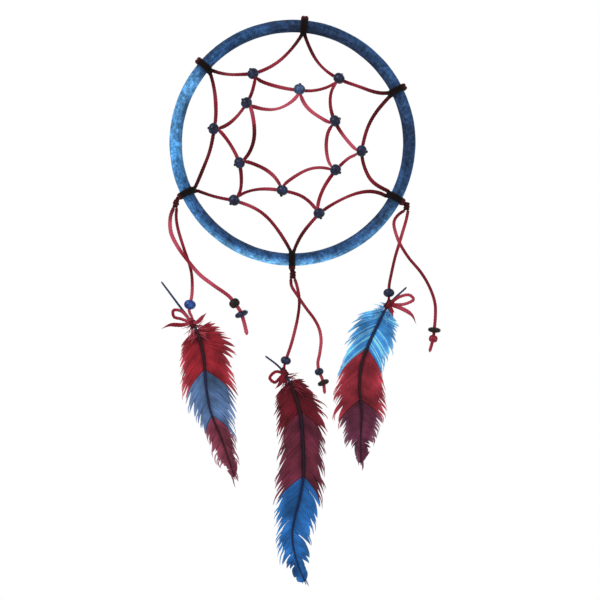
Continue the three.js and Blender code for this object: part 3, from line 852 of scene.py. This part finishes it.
# Every place is in millimetres from the hoop's middle. Cords are given top first, and a bead's
# bore follows its direction. A bow's place is a share of the shaft's length. A feather lies at its
# own depth, and its bands end where the shaft passes the heights given.
PENDANTS = [
    {
        "name": "left",
        "hangs_from": "lower_left",
        "feather_cord": [
            (-75.3, 0.2, -42.4), (-75.6, 0.6, -48.6), (-74.6, 1.6, -55.6), (-70.9, 2.5, -68.1),
            (-67.1, 2.5, -79.2), (-65.7, 2.5, -85.6), (-65.3, 2.5, -92.5), (-65.6, 2.5, -99.3),
            (-66.8, 2.5, -105.2), (-67.3, 2.55, -108.9), (-66.7, 1.7, -111), (-65.8, 0.8, -112.5),
            (-65.2, 0.2, -114.4),
        ],
        "feather_bead": ((-0.15, 0, -1), (3.9, 3.3), "royal_blue"),
        "tail_cord": [
            (-77.3, -0.4, -42.4), (-79.2, -1.4, -48.4), (-78.8, -2.6, -58.2), (-74, -3.5, -68.1),
            (-67.7, -3.5, -76.8), (-60.3, -3.5, -85.5), (-51.6, -3.5, -92.3), (-40.9, -3.5, -100),
            (-37.6, -3.5, -104.3), (-34.8, -3.5, -107.8), (-33, -3.5, -111.3), (-31.2, -3.5, -117.2),
            (-29.4, -3.5, -124.9),
        ],
        "tail_bead_upper": ((0.64, 0, -0.77), (3.5, 3), "brown_black"),
        "tail_bead_lower": ((0.4, 0, -0.92), (4.5, 2), "navy"),
        "rose": (0.1, 0.8),
        "bow_at": 0.24,
        "loop": [(-72.5, -109.3), (-77.3, -109), (-77, -113), (-72, -114.6)],
        "bow_tails": [
            [(-71.6, -118.4), (-79.4, -118.4), (-85.3, -121)],
            [(-61.4, -116.3), (-58.2, -113), (-55.6, -110.4)],
        ],
        "shaft": [
            (-85.5, -90.2), (-74.4, -105.1), (-63.4, -120.3), (-59.7, -130.2), (-57.8, -140.1),
            (-56.6, -155.1), (-55.3, -165), (-53.1, -175.6), (-45.8, -193.5), (-37.3, -219.1),
        ],
        "layer": 2.5,
        "vane_start": 0.28,
        "vane_left": [
            (-72.7, -131.8), (-74.1, -144.8), (-71.8, -157.8), (-69.2, -172),
            (-62.8, -180), (-55.6, -192), (-50.4, -207.2), (-43, -213.5),
        ],
        "vane_right": [
            (-53, -115.5), (-40.4, -127.7), (-37.3, -140.8), (-38.5, -151),
            (-36.4, -162.5), (-37.9, -182), (-37.4, -196), (-35.6, -208),
        ],
        "leans": (0.18, 0.40),
        "camber": 3,
        "bands": [(-148, "red"), (-178, "slate_blue"), (-400, "wine")],
    },
    {
        "name": "centre",
        "hangs_from": "bottom",
        "feather_cord": [
            (1.5, -0.3, -88.6), (2.8, -1.2, -92.6), (4.2, -2.4, -99.3), (4.4, -3.2, -105.4),
            (3.4, -3.5, -113.6), (1.2, -3.5, -123.5), (-1.2, -3.5, -132.2), (-3.4, -3.5, -138.6),
            (-4.5, -3.5, -142.2), (-5.4, -3.5, -145.2),
        ],
        "feather_bead": ((-0.28, 0, -1), (3.4, 2.9), "navy"),
        "tail_cord": [
            (-1.1, 0.3, -88.6), (-0.6, 1.2, -93), (3.6, 2.9, -99.8), (8.7, 5, -107.3), (14.3, 6.6, -114.8),
            (17.4, 7.2, -121), (18.7, 7.5, -128.4), (17.8, 7.5, -137.2), (16.6, 7.5, -143.4),
            (17.4, 7.5, -149.1), (19, 7.5, -152.7), (20.2, 7.5, -156.3), (21.1, 7.5, -163.6),
        ],
        "tail_bead_upper": ((0.3, 0, -0.95), (2.9, 2.4), "navy"),
        "tail_bead_lower": ((0.38, 0, -0.92), (3.9, 1.8), "brown_black"),
        "rose": (0.15, 0.25),
        "bow_at": 0.105,
        "loop": [(-11, -148.6), (-14.6, -152.6), (-11.4, -155.4), (-8, -152.4)],
        "bow_tails": [
            [(-6.8, -154), (-9, -157.4), (-11.3, -159.6)],
        ],
        "shaft": [
            (-17.7, -138.4), (-8.7, -145.5), (-2.5, -153.9), (2.2, -165), (5.2, -176.9), (7, -197.8),
            (7, -217.2), (4.5, -232.1), (0.7, -247.1), (0, -257.5), (2.2, -269.4), (8.8, -286.5),
        ],
        "layer": -3.5,
        "vane_start": 0.15,
        "vane_left": [
            (-11, -164.9), (-11.2, -179.9), (-8.3, -196), (-11.2, -226),
            (-11.2, -246), (-8.3, -268), (-4.5, -277.7), (3, -285),
        ],
        "vane_right": [
            (6.7, -153.1), (20.2, -171), (21.6, -178.4), (20.9, -196),
            (20.5, -214), (19.5, -232), (12, -258), (9.8, -278),
        ],
        "leans": (0.12, 0.26),
        "camber": 3,
        "bands": [(-175, "deep_crimson"), (-217, "dark_wine"), (-400, "bright_blue")],
    },
    {
        "name": "right",
        "hangs_from": "lower_right",
        "feather_cord": [
            (75.2, 0.3, -44), (74, 0.8, -50), (71.6, 1.8, -58.4), (69.5, 2.5, -65.5), (66.7, 2.5, -74.9),
            (64.4, 2.5, -85.2), (63, 2.5, -92.6), (62.8, 2.5, -97.8), (62.8, 2.5, -101.3),
        ],
        "feather_bead": ((0.05, 0, -1), (3.65, 3), "navy"),
        "tail_cord": [
            (72.8, -0.3, -44), (69.3, -1, -46.4), (66.6, -1.6, -49.6),
            (65.8, -2.2, -53), (67.3, -3.2, -59.9), (69.9, -3.5, -66.2),
            (75.4, -3.5, -74.9), (83.3, -3.5, -84.4), (88.8, -3.5, -93.8), (92.3, -3.5, -104.1),
            (92.6, -3.5, -112.7), (91.9, -3.5, -121.2), (91.1, -3.5, -127.5), (88.8, -3.5, -136),
        ],
        "tail_bead_upper": ((-0.1, 0, -0.99), (4.1, 1.8), "brown_black"),
        "tail_bead_lower": ((-0.15, 0, -0.99), (2.9, 2.5), "crimson"),
        "rose": (0.25, 0.1),
        "bow_at": 0.13,
        "loop": [(69.5, -100.2), (76, -99), (78.6, -101.8), (73, -104.8)],
        "bow_tails": [
            [(71, -107.8), (77.5, -112), (80.4, -118)],
            [(64.4, -109.4), (65.3, -113)],
        ],
        "shaft": [
            (74.4, -93.8), (62.4, -105.6), (55.2, -119), (48.9, -132.7), (44.6, -146.4),
            (43.7, -158.8), (44.3, -167.5), (45.2, -177.5), (44.6, -187.4), (44.6, -209.8),
        ],
        "layer": 2.5,
        "vane_start": 0.17,
        "vane_left": [
            (42.8, -111.6), (37, -122.5), (31.5, -147.6), (27.5, -164),
            (27.8, -179.2), (33.4, -190), (37, -201), (42, -207),
        ],
        "vane_right": [
            (65, -110.3), (68.8, -118), (64.5, -137.1), (58.5, -148.3),
            (60, -164), (60.6, -176), (56, -188), (50, -201),
        ],
        "leans": (0.20, 0.25),
        "camber": 0.55,
        "bands": [(-134, "sky_blue"), (-167.5, "crimson_red"), (-400, "purple")],
    },
]


def wound_line(middle, axis, radius, turns, rise, start=0.0):
    """The middle of a cord wound round an axis, with rise along it in each turn, in metres."""
    side = axis.orthogonal().normalized()
    across = axis.cross(side)
    parts = round(2 * math.pi * radius * turns / WOUND_STEP)
    line = []
    for part in range(parts + 1):
        turn = turns * part / parts
        angle = 2 * math.pi * turn + start
        outward = side * math.cos(angle) + across * math.sin(angle)
        line.append(middle + axis * (rise * (turn - turns / 2)) + outward * radius)
    return line


def even(value):
    return lambda share, place: value


def rounded_ends(radius):
    """A cord whose cut ends are rounded over."""
    def radius_at(share, place):
        near = min(share, 1 - share) / CUT_SHARE
        return radius * (1 if near >= 1 else max(0.25, math.sqrt(near * (2 - near))))
    return radius_at


def knot_dye(share, place):
    return mixed(UMBER, DEEP_RED, 0.55 + 0.4 * slow_tone(place, 14))


for pendant in PENDANTS:
    name = pendant["name"]
    node = f"{name}_hitch"
    shell = new_shell()
    knot_middle = box_middle(node)
    turns = wound_line(
        knot_middle, Vector((0, 0, 1)), KNOT_MIDDLE_RADIUS * MM, KNOT_TURNS, KNOT_RISE * MM
    )
    lay_cord(shell, turns, rounded_ends(KNOT_CORD_RADIUS), knot_dye)
    turn = math.radians(HITCHES[pendant["hangs_from"]])
    under_hitch = Vector((math.cos(turn), 0, math.sin(turn))) * (HOOP_RADIUS + HITCH_REACH * MM)
    for strand in ("feather_cord", "tail_cord"):
        x, y, z = pendant[strand][0]
        foot = from_middle(x, y, z)
        middle = knot_middle + Vector(((foot.x - knot_middle.x) * 0.5, 0, 0))
        top = hoop_middle + under_hitch + Vector(((foot.x - middle.x) * 1.2, 0, 0))
        core = smooth_line([foot, middle, top], CORD_STEP)
        lay_cord(shell, core, rounded_ends(KNOT_CORD_RADIUS), knot_dye)
    knot = shell_object(f"{node}_whipping", shell, cord_finish)
    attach(knot, node)
    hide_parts(node)

# ------------------------------------------------------------------ pendant cords
# Two strands of the same cord hang from each hitch. The feather's strand ends in the bow, and the
# tail hangs free with its cut end bare below two beads.
PALE_FULLNESS = 1.22
SQUEEZE = 0.2
SQUEEZED_FROM = 0.9


def strand_dye(seed, rose):
    """Dark where it leaves the whipping, then crimson or rose."""
    def dye_at(share, place):
        return mixed(DEEP_RED, dyed(place, seed, rose), min(1, 0.2 + share * 9))
    return dye_at


def strand_radius(seed, fullness, bare_end):
    """The palest strand is washed softest, so it has swollen a little."""
    def radius_at(share, place):
        radius = CORD_RADIUS * (fullness + 0.12 * slow_tone(place, seed))
        if share < 0.01:
            radius *= 0.8 + 20 * share
        if bare_end and share > 0.985:
            radius *= max(0.35, math.sqrt((1 - share) / 0.015))
        if not bare_end:
            radius *= 1 - SQUEEZE * max(0, (share - SQUEEZED_FROM) / (1 - SQUEEZED_FROM))
        return radius
    return radius_at


strands = {}
for number, pendant in enumerate(PENDANTS):
    name = pendant["name"]
    for kind, rose in zip(("feather_cord", "tail_cord"), pendant["rose"]):
        node = f"{name}_{kind}"
        line = smooth_line([from_middle(*point) for point in pendant[kind]], CORD_STEP)
        shell = new_shell()
        seed = 20 + 5 * number + len(kind)
        fullness = PALE_FULLNESS if rose > 0.5 else 1
        lay_cord(shell, line, strand_radius(seed, fullness, kind == "tail_cord"), strand_dye(seed, rose))
        strand = shell_object(f"{node}_twisted", shell, cord_finish)
        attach(strand, f"{name}_{kind.replace('cord', 'strand')}")
        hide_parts(node)
        strands[node] = (strand, line)

# ------------------------------------------------------------------ pendant beads
# One bead above each feather and two on each tail. Some are round and some are flat discs, and the
# brown-black ones are oiled wood.
BEAD_FINISHES = {
    "navy": (navy_bead, "bead_navy"),
    "royal_blue": (
        bead_finish("royal_blue_bead", srgb(26, 66, 142), srgb(60, 112, 180), srgb(14, 24, 58)),
        "bead_royal_blue",
    ),
    "brown_black": (
        bead_finish("brown_black_bead", srgb(27, 16, 11), srgb(52, 33, 22), srgb(12, 7, 5), 0.55, 0.05),
        "bead_brown",
    ),
    "crimson": (
        bead_finish("crimson_bead", srgb(146, 32, 50), srgb(166, 50, 66), srgb(100, 20, 32), 0.5, 0.1),
        "cord",
    ),
}
# The quill passes close beside the bead above its feather, so that bead is rounder and truer.
BESIDE_QUILL = 1.0
BEAD_STRANDS = {
    "feather_bead": "feather_strand", "tail_bead_upper": "tail_strand", "tail_bead_lower": "tail_strand",
}
for number, pendant in enumerate(PENDANTS):
    name = pendant["name"]
    for kind, strand_body in BEAD_STRANDS.items():
        direction, (radius, half_length), finish = pendant[kind]
        node = f"{name}_{kind}"
        by_quill = kind == "feather_bead"
        fullness = BESIDE_QUILL if by_quill else FULLNESS
        pattern = turned_bead(f"{node}_pattern", radius * MM, half_length * MM, fullness)
        seed = 40 + 3 * number + len(kind)
        uneven = 0 if by_quill else OUT_OF_ROUND
        place = box_middle(node)
        bead = thread_bead(pattern, f"{node}_turned", place, Vector(direction), seed, uneven)
        bpy.data.objects.remove(pattern)
        material, slot = BEAD_FINISHES[finish]
        bead.data.materials.append(material)
        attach(bead, f"{name}_{strand_body}")
        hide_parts(node)
    strand, line = strands[f"{name}_feather_cord"]
    strand, line = strands[f"{name}_tail_cord"]

# ------------------------------------------------------------------ feather shafts
# The shaft is horn, dyed dark blue-grey with the feather. Its bare quill sticks up past the bow,
# and it tapers all the way to the feather's tip.
QUILL_RADIUS = 0.00085
TIP_RADIUS = 0.00028
QUILL_END = 0.7
QUILL_END_SHARE = 0.24
SHAFT_SWELL = 0.00022
SWELL_AT = 0.38
SWELL_SPREAD = 0.2
SHAFT_STEP = 0.0006
SHAFT_SIDES = 14
SHAFT_ROUNDING = 0.006
FIRST_SHARE = 0.0004


def shaft_line(pendant):
    return smooth_line([from_middle(x, pendant["layer"], z) for x, z in pendant["shaft"]], SHAFT_STEP)


def shaft_radius(share):
    """The shaft swells a little below the quill, then tapers to the tip."""
    swell = SHAFT_SWELL * math.exp(-((share - SWELL_AT) / SWELL_SPREAD) ** 2)
    return QUILL_RADIUS + (TIP_RADIUS - QUILL_RADIUS) * share ** 1.3 + swell


def quill_horn():
    material, tree, shader = finish_nodes("quill_horn")
    streaks = noise_node(tree, attribute_node(tree, "fibre").outputs["Vector"], 4, 4)
    # The dye attribute holds the horn's dye with painted shade in its grooves.
    colour = attribute_node(tree, "dye_and_shade").outputs["Color"]
    lengthwise = ramp_node(tree, streaks, [(0.3, 0.6), (0.5, 1.0), (0.7, 1.6)])
    colour = multiply_node(tree, colour, lengthwise, 0.8)
    tree.links.new(colour, shader.inputs["Base Color"])
    shader.inputs["Roughness"].default_value = 0.55
    shader.inputs["Specular IOR Level"].default_value = 0.2
    shader.inputs["Coat Weight"].default_value = 0.04
    shader.inputs["Coat Roughness"].default_value = 0.3
    bump_node(tree, streaks, 0.00008, 0.6, shader)
    return material


horn = quill_horn()
QUILL_DYE = srgb(50, 58, 92)
SHAFT_DYES = {
    "red": srgb(46, 16, 30), "slate_blue": srgb(34, 30, 66), "wine": srgb(44, 16, 34),
    "deep_crimson": srgb(38, 13, 24), "dark_wine": srgb(28, 15, 34), "bright_blue": srgb(14, 30, 76),
    "sky_blue": srgb(16, 34, 80), "crimson_red": srgb(38, 15, 28), "purple": srgb(38, 16, 34),
}


def band_at(pendant, height):
    """The feather's band where the shaft passes a height in millimetres."""
    for end, band in pendant["bands"]:
        if height > end:
            return band


shafts = {}
for pendant in PENDANTS:
    name = pendant["name"]
    line = shaft_line(pendant)
    shafts[name] = line
    shell = new_shell()

    def shaft_dye(share, place):
        if share < pendant["vane_start"]:
            return QUILL_DYE
        return SHAFT_DYES[band_at(pendant, (place.z - hoop_middle.z) / MM)]

    def shaft_size(share, place):
        round_end = min(1, math.sqrt(max(share, FIRST_SHARE) / SHAFT_ROUNDING))
        narrow_end = QUILL_END + (1 - QUILL_END) * min(1, share / QUILL_END_SHARE)
        return shaft_radius(share) * round_end * narrow_end / (1 - PLY_DEPTH / 2)

    lay_cord(shell, line, shaft_size, shaft_dye, sides=SHAFT_SIDES)
    shaft = shell_object(f"{name}_feather_shaft_horn", shell, horn)
    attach(shaft, f"{name}_feather")
    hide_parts(f"{name}_feather_shaft")

# ------------------------------------------------------------------ bows
# A thinner length of the crimson cord is bound round the quill and tied in front of it, with one
# loop and one or two tails that are cut to a point.
BOW_RADIUS = 0.00105
BOW_LIFT = 0.9
BINDING_TURNS = 3.2
BINDING_GAP = 0.0007
BOW_SIDES = 12
TAIL_LIFT = 1.4
POINTED_FROM = 0.55


def place_along(line, share):
    """The place at a share of a line's length, and the line's direction there."""
    spot = max(0, min(0.9999, share)) * (len(line) - 1)
    index = int(spot)
    forward = line[min(index + 2, len(line) - 1)] - line[max(index - 1, 0)]
    return line[index].lerp(line[index + 1], spot - index), forward.normalized()


def pointed(radius):
    """A tail that starts full and is cut to a point."""
    def radius_at(share, place):
        body = 0.8 + 0.45 * math.sin(math.pi * min(1, share * 1.1))
        if share < POINTED_FROM:
            return radius * body
        return radius * body * max(0.1, 1 - ((share - POINTED_FROM) / (1 - POINTED_FROM)) ** 1.5)
    return radius_at


for number, pendant in enumerate(PENDANTS):
    name = pendant["name"]
    middle, forward = place_along(shafts[name], pendant["bow_at"])
    reach = shaft_radius(pendant["bow_at"]) + BINDING_GAP
    front = reach + BOW_RADIUS
    start = middle - Vector((0, front, 0))
    shell = new_shell()

    def bow_dye(share, place):
        return dyed(place, 50 + number, -0.05)

    def in_front(x, z, lift=BOW_LIFT):
        point = from_middle(x, 0, z)
        point.y = start.y - lift * MM
        return point

    binding = wound_line(middle, forward, reach, BINDING_TURNS, 1.75 * BOW_RADIUS, start=math.pi / 2)
    binding_dye = even(mixed(UMBER, DEEP_RED, 0.8))
    lay_cord(shell, binding, rounded_ends(BOW_RADIUS), binding_dye, sides=BOW_SIDES)
    loop = smooth_line([start, *[in_front(x, z) for x, z in pendant["loop"]], start], CORD_STEP)
    lay_cord(shell, loop, even(BOW_RADIUS), bow_dye, sides=BOW_SIDES)
    for tail in pendant["bow_tails"]:
        line = smooth_line([start, *[in_front(x, z, TAIL_LIFT) for x, z in tail]], CORD_STEP)
        lay_cord(shell, line, pointed(BOW_RADIUS * 1.1), bow_dye, sides=BOW_SIDES)
    # The strand's own end is tucked behind the quill, under the binding.
    strand_end = strands[f"{name}_feather_cord"][1][-1]
    behind = middle + Vector((0, reach, 0))
    tucked = smooth_line([strand_end, strand_end.lerp(middle, 0.5), behind], CORD_STEP)
    lay_cord(shell, tucked, even(CORD_RADIUS * 0.95), bow_dye, sides=BOW_SIDES)
    knot = wound_line(
        start - Vector((0, 0.0004, 0)), forward.cross(Vector((0, 1, 0))), 0.0011, 1.3, 0.0009
    )
    knot_colour = even(mixed(DEEP_RED, CRIMSON, 0.3))
    lay_cord(shell, knot, rounded_ends(BOW_RADIUS), knot_colour, sides=BOW_SIDES)
    bow = shell_object(f"{name}_bow_tied", shell, cord_finish)
    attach(bow, f"{name}_feather")
    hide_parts(f"{name}_bow")

# ------------------------------------------------------------------ feather vanes
# Hundreds of barbs grow from both sides of each shaft and hook into a flat vane. The edge is ragged
# because barbs cling together in pointed groups. Each feather was dip-dyed in three bands.
BARBS = 330
BARB_STEPS = 9
BARB_SHARES = [step / BARB_STEPS for step in range(BARB_STEPS + 1)]
BARB_WIDTH = 0.00105
BARB_THICKNESS = 0.00016
BARB_ROLL = math.radians(12)
ROOT_CROWDING = 1.7
VANE_END = 0.985
# The last barbs of each band are darkened: a painted shadow along the edge where it lies over the next
# band.
BAND_EDGE = 0.006
BAND_EDGE_SHADOW = 0.45
PALE_CHANCE = 0.3

# Barbs cling in groups of these sizes, whose tips gather to a point. Reaches, notches and tones are
# drawn between two shares.
GROUPS = (4, 5, 6, 7, 9, 12, 16)
GATHERED_AT = 0.8
CLING_FROM = 0.55
GROUP_TONES = (0.86, 1.14)
GROUP_NOTCHES = (0.02, 0.14)
GROUP_REACHES = (0.95, 1.10)
TIP_FROM = 0.72
TIP_REACHES = (0.72, 1.12)
FLUTTER_SHARE = 0.6
SPLIT_CHANCE = 0.12
SPLIT_REACH = 0.45

STRAY_BARBS = 16
STRAY_LIFT = 0.0006
TIP_BARBS = 12
DOWNY_BARBS = 26

# Each band's dye on the barbs, and the paler dye at their tips.
BANDS = {
    "red": (srgb(152, 36, 48), srgb(218, 98, 116)),
    "slate_blue": (srgb(82, 110, 152), srgb(140, 164, 204)),
    "wine": (srgb(134, 58, 78), srgb(184, 124, 144)),
    "deep_crimson": (srgb(98, 20, 32), srgb(160, 58, 76)),
    "dark_wine": (srgb(104, 39, 58), srgb(144, 82, 102)),
    "bright_blue": (srgb(40, 106, 178), srgb(72, 148, 212)),
    "sky_blue": (srgb(66, 146, 220), srgb(130, 206, 248)),
    "crimson_red": (srgb(154, 46, 60), srgb(200, 78, 96)),
    "purple": (srgb(97, 42, 64), srgb(156, 108, 132)),
}


def add_barb(shell, route, width, roll_side, dyes):
    """A thin pointed blade along a route of points, with a ridge on its front and back."""
    count = len(route)
    first = len(shell["points"])
    for index, place in enumerate(route):
        share = index / (count - 1)
        after = route[min(index + 1, count - 1)]
        before = route[max(index - 1, 0)]
        forward = (after - before).normalized()
        across = forward.cross(Vector((0, 1, 0))).normalized()
        across = (across * math.cos(BARB_ROLL) + Vector((0, roll_side * math.sin(BARB_ROLL), 0)))
        half = width * 0.5 * (1 - 0.96 * share ** 3.2)
        ridge = Vector((0, BARB_THICKNESS * 0.5, 0))
        for offset in (across * half, -ridge, -across * half, ridge):
            shell["points"].append(place + offset)
            shell["dye_and_shade"].append((*dyes[index], 1))
            shell["fibre"].append((share * 40, offset.dot(across) / MM, first * 0.1))
    for index in range(count - 1):
        ring = first + index * 4
        for number in range(4):
            beside = (number + 1) % 4
            shell["faces"].append((ring + number, ring + number + 4, ring + beside + 4, ring + beside))
    last = first + (count - 1) * 4
    shell["faces"].append((first, first + 1, first + 2, first + 3))
    shell["faces"].append((last + 3, last + 2, last + 1, last))


def tint(colour, amount):
    return tuple(min(1, channel * amount) for channel in colour)


def edge_share(share, lean):
    """How far down the vane's edge a barb ends, for one that grows at a share of its length. Barbs
    lean to the tip, steeply below the first few."""
    return share + lean * (1 - share) ** 0.5 * (1 - (1 - share) ** 8)


class Vane:
    """One side of a feather: the shaft that it grows from, its outer edge, and its own draws."""

    def __init__(self, pendant, side_name, side):
        self.pendant = pendant
        self.side = side
        self.layer = pendant["layer"]
        self.lean = pendant["leans"][side > 0]
        self.camber = pendant["camber"] * MM
        self.shaft = shafts[pendant["name"]]
        edge_points = [from_middle(x, self.layer, z) for x, z in pendant[f"vane_{side_name}"]]
        self.edge = smooth_line(edge_points, SHAFT_STEP)
        self.draw = random.Random(f"{pendant['name']} {side_name} vane")
        self.shell = new_shell()

    def height_at(self, share):
        """How far down the shaft a barb grows, for its share of the vane."""
        start = self.pendant["vane_start"]
        return start + (VANE_END - start) * share

    def root_at(self, height):
        """A place on the shaft, the shaft's direction there and the way out of it on this side."""
        root, forward = place_along(self.shaft, height)
        return root, forward, Vector((-forward.z, 0, forward.x)) * self.side

    def edge_at(self, share):
        """Where on the edge a barb ends, and the edge's direction there."""
        return place_along(self.edge, edge_share(share, self.lean))

    def band_beside(self, place):
        return band_at(self.pendant, (place.z - hoop_middle.z) / MM)

    def lay_barb(self, width, spot_at, dye_at):
        """A barb whose place and dye are asked at each share of its length."""
        route = [spot_at(s) for s in BARB_SHARES]
        dyes = [dye_at(s, spot) for s, spot in zip(BARB_SHARES, route)]
        add_barb(self.shell, route, width, self.side, dyes)

    def lay_groups(self):
        """The barbs that make up the vane, from the feather's root to its tip."""
        draw = self.draw
        shares = [(number / (BARBS - 1)) ** ROOT_CROWDING for number in range(BARBS)]
        index = 0
        while index < BARBS:
            size = min(draw.choice(GROUPS), BARBS - index)
            group = {
                "point": shares[min(BARBS - 1, index + round(size * GATHERED_AT))],
                "tone": draw.uniform(*GROUP_TONES),
                "flutter": draw.uniform(-0.5, 0.5) * min(MM, self.camber * FLUTTER_SHARE),
                "notch": draw.uniform(*GROUP_NOTCHES),
                "reach": draw.uniform(*GROUP_REACHES),
            }
            if shares[index] > TIP_FROM:
                group["reach"] = draw.uniform(*TIP_REACHES)
            split = draw.random() < SPLIT_CHANCE
            for member in range(size):
                number = index + member
                off_point = abs((member + 0.5) / size - GATHERED_AT)
                self.lay_member(number, shares[number], group, off_point, split and member < 2)
            index += size

    def lay_member(self, number, share, group, off_point, broken):
        """One barb of a group. It arches out of the shaft, and its end leans to the group's point."""
        draw = self.draw
        height = self.height_at(share)
        root, _, outward = self.root_at(height)
        root = root + outward * shaft_radius(height) * 0.6
        notch = group["notch"] * off_point / GATHERED_AT
        reach = group["reach"] * (1 - notch - draw.uniform(0, 0.05))
        if broken:
            reach *= SPLIT_REACH
        tip = root.lerp(self.edge_at(share)[0], reach)
        point = root.lerp(self.edge_at(group["point"])[0], reach)
        control = root.lerp(tip, 0.45) + outward * (tip - root).length * 0.16
        band = self.band_beside(root)
        base, pale = BANDS[band]
        tone = group["tone"] * draw.uniform(0.9, 1.1)
        # A painted shadow: the last barbs before the next band are darkened.
        if self.band_beside(place_along(self.shaft, min(1, height + BAND_EDGE))[0]) != band:
            tone *= BAND_EDGE_SHADOW
        if band == "sky_blue" and draw.random() < PALE_CHANCE:
            base = pale

        def spot_at(s):
            spot = root.lerp(control, s).lerp(control.lerp(tip, s), s)
            cling = max(0, (s - CLING_FROM) / (1 - CLING_FROM)) ** 1.4
            spot += (point - tip) * cling * 0.6
            spot.y = self.layer * MM + hoop_middle.y
            spot.y += self.camber * s ** 1.6 + group["flutter"] * s * s + 0.00004 * (number % 3)
            return spot

        def dye_at(s, spot):
            wash = 1 + 0.75 * noise.noise(spot * 95 + Vector((self.layer, 0, 3)))
            wash *= 1 + 0.35 * noise.noise(spot * 330 + Vector((3, self.layer, 0)))
            near_shaft = 0.5 + 0.5 * min(1, s / 0.12)
            paleness = 0.95 * max(0, (s - 0.5) / 0.5) ** 1.8
            return tint(mixed(base, pale, paleness), tone * wash * near_shaft)

        self.lay_barb(BARB_WIDTH, spot_at, dye_at)

    def lay_stray(self):
        """A loose barb that lies on the vane and runs out past its edge."""
        draw = self.draw
        share = draw.uniform(0.05, 0.9)
        root, _, outward = self.root_at(self.height_at(share))
        near, edge_forward = self.edge_at(share)
        tip = near + (edge_forward * draw.uniform(2, 7) + outward * draw.uniform(0, 1.6)) * MM
        start = root.lerp(near, 0.6)
        control = near + outward * draw.uniform(0.2, 1.2) * MM
        base, pale = BANDS[self.band_beside(root)]

        def spot_at(s):
            spot = start.lerp(control, s).lerp(control.lerp(tip, s), s)
            depth = self.camber * (0.4 + 0.6 * s) + STRAY_LIFT * (1 - s)
            spot.y = self.layer * MM + hoop_middle.y + depth
            return spot

        def dye_at(s, spot):
            return tint(mixed(base, pale, 0.4 + 0.5 * s), 1)

        self.lay_barb(BARB_WIDTH * 0.8, spot_at, dye_at)

    def lay_tip_barb(self):
        """A barb that runs nearly along the shaft, past the feather's tip."""
        draw = self.draw
        root, forward, outward = self.root_at(draw.uniform(0.86, 0.97))
        length = draw.uniform(5, 11) * MM
        spread = draw.uniform(0.08, 0.42)
        tone = draw.uniform(0.8, 1.15)
        base, pale = BANDS[self.pendant["bands"][-1][1]]

        def spot_at(s):
            spot = root + (forward + outward * spread * (1.6 - s)) * length * s
            spot.y += self.camber * 0.5 * s
            return spot

        def dye_at(s, spot):
            return tint(mixed(base, pale, 0.7 * s), tone)

        self.lay_barb(BARB_WIDTH, spot_at, dye_at)

    def lay_downy_barb(self):
        """A short soft barb at the feather's root, which stands out in any direction."""
        draw = self.draw
        height = self.pendant["vane_start"] + draw.uniform(-0.035, 0.03)
        root, forward, outward = self.root_at(height)
        length = draw.uniform(4, 9.5) * MM
        heading = (outward + forward * draw.uniform(-0.5, 0.8)).normalized()
        droop = (forward - heading * 0.3).normalized() * length * draw.uniform(0.1, 0.6)
        depth = draw.uniform(-1.2, 1.4) * MM
        base, pale = BANDS[self.pendant["bands"][0][1]]

        def spot_at(s):
            spot = root + heading * length * s + droop * s * s
            spot.y += depth * s
            return spot

        def dye_at(s, spot):
            return tint(mixed(base, pale, s), 0.95)

        self.lay_barb(BARB_WIDTH * 0.5, spot_at, dye_at)

    def grow(self):
        """Lays every barb, and gives back the shell that holds them."""
        self.lay_groups()
        for _ in range(STRAY_BARBS):
            self.lay_stray()
        for _ in range(TIP_BARBS):
            self.lay_tip_barb()
        for _ in range(DOWNY_BARBS):
            self.lay_downy_barb()
        return self.shell


def feather_dye_and_shadow():
    material, tree, shader = finish_nodes("feather_dye_and_shadow")
    barbules = noise_node(tree, attribute_node(tree, "fibre").outputs["Vector"], 2.2, 3, 0.6)
    # The dye attribute also holds a painted shadow at each band's edge.
    colour = attribute_node(tree, "dye_and_shade").outputs["Color"]
    hooks = ramp_node(tree, barbules, [(0.3, 0.7), (0.5, 1.0), (0.7, 1.35)])
    colour = multiply_node(tree, colour, hooks, 0.7)
    tree.links.new(colour, shader.inputs["Base Color"])
    shader.inputs["Roughness"].default_value = 0.85
    shader.inputs["Specular IOR Level"].default_value = 0.15
    shader.inputs["Sheen Weight"].default_value = 0.04
    shader.inputs["Sheen Roughness"].default_value = 0.45
    bump_node(tree, barbules, 0.0001, 0.5, shader)
    return material


barb_finish = feather_dye_and_shadow()
for pendant in PENDANTS:
    for side_name, side in (("left", -1), ("right", 1)):
        node = f"{pendant['name']}_feather_vane_{side_name}"
        vane = shell_object(f"{node}_barbs", Vane(pendant, side_name, side).grow(), barb_finish)
        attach(vane, f"{pendant['name']}_feather")
        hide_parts(node)
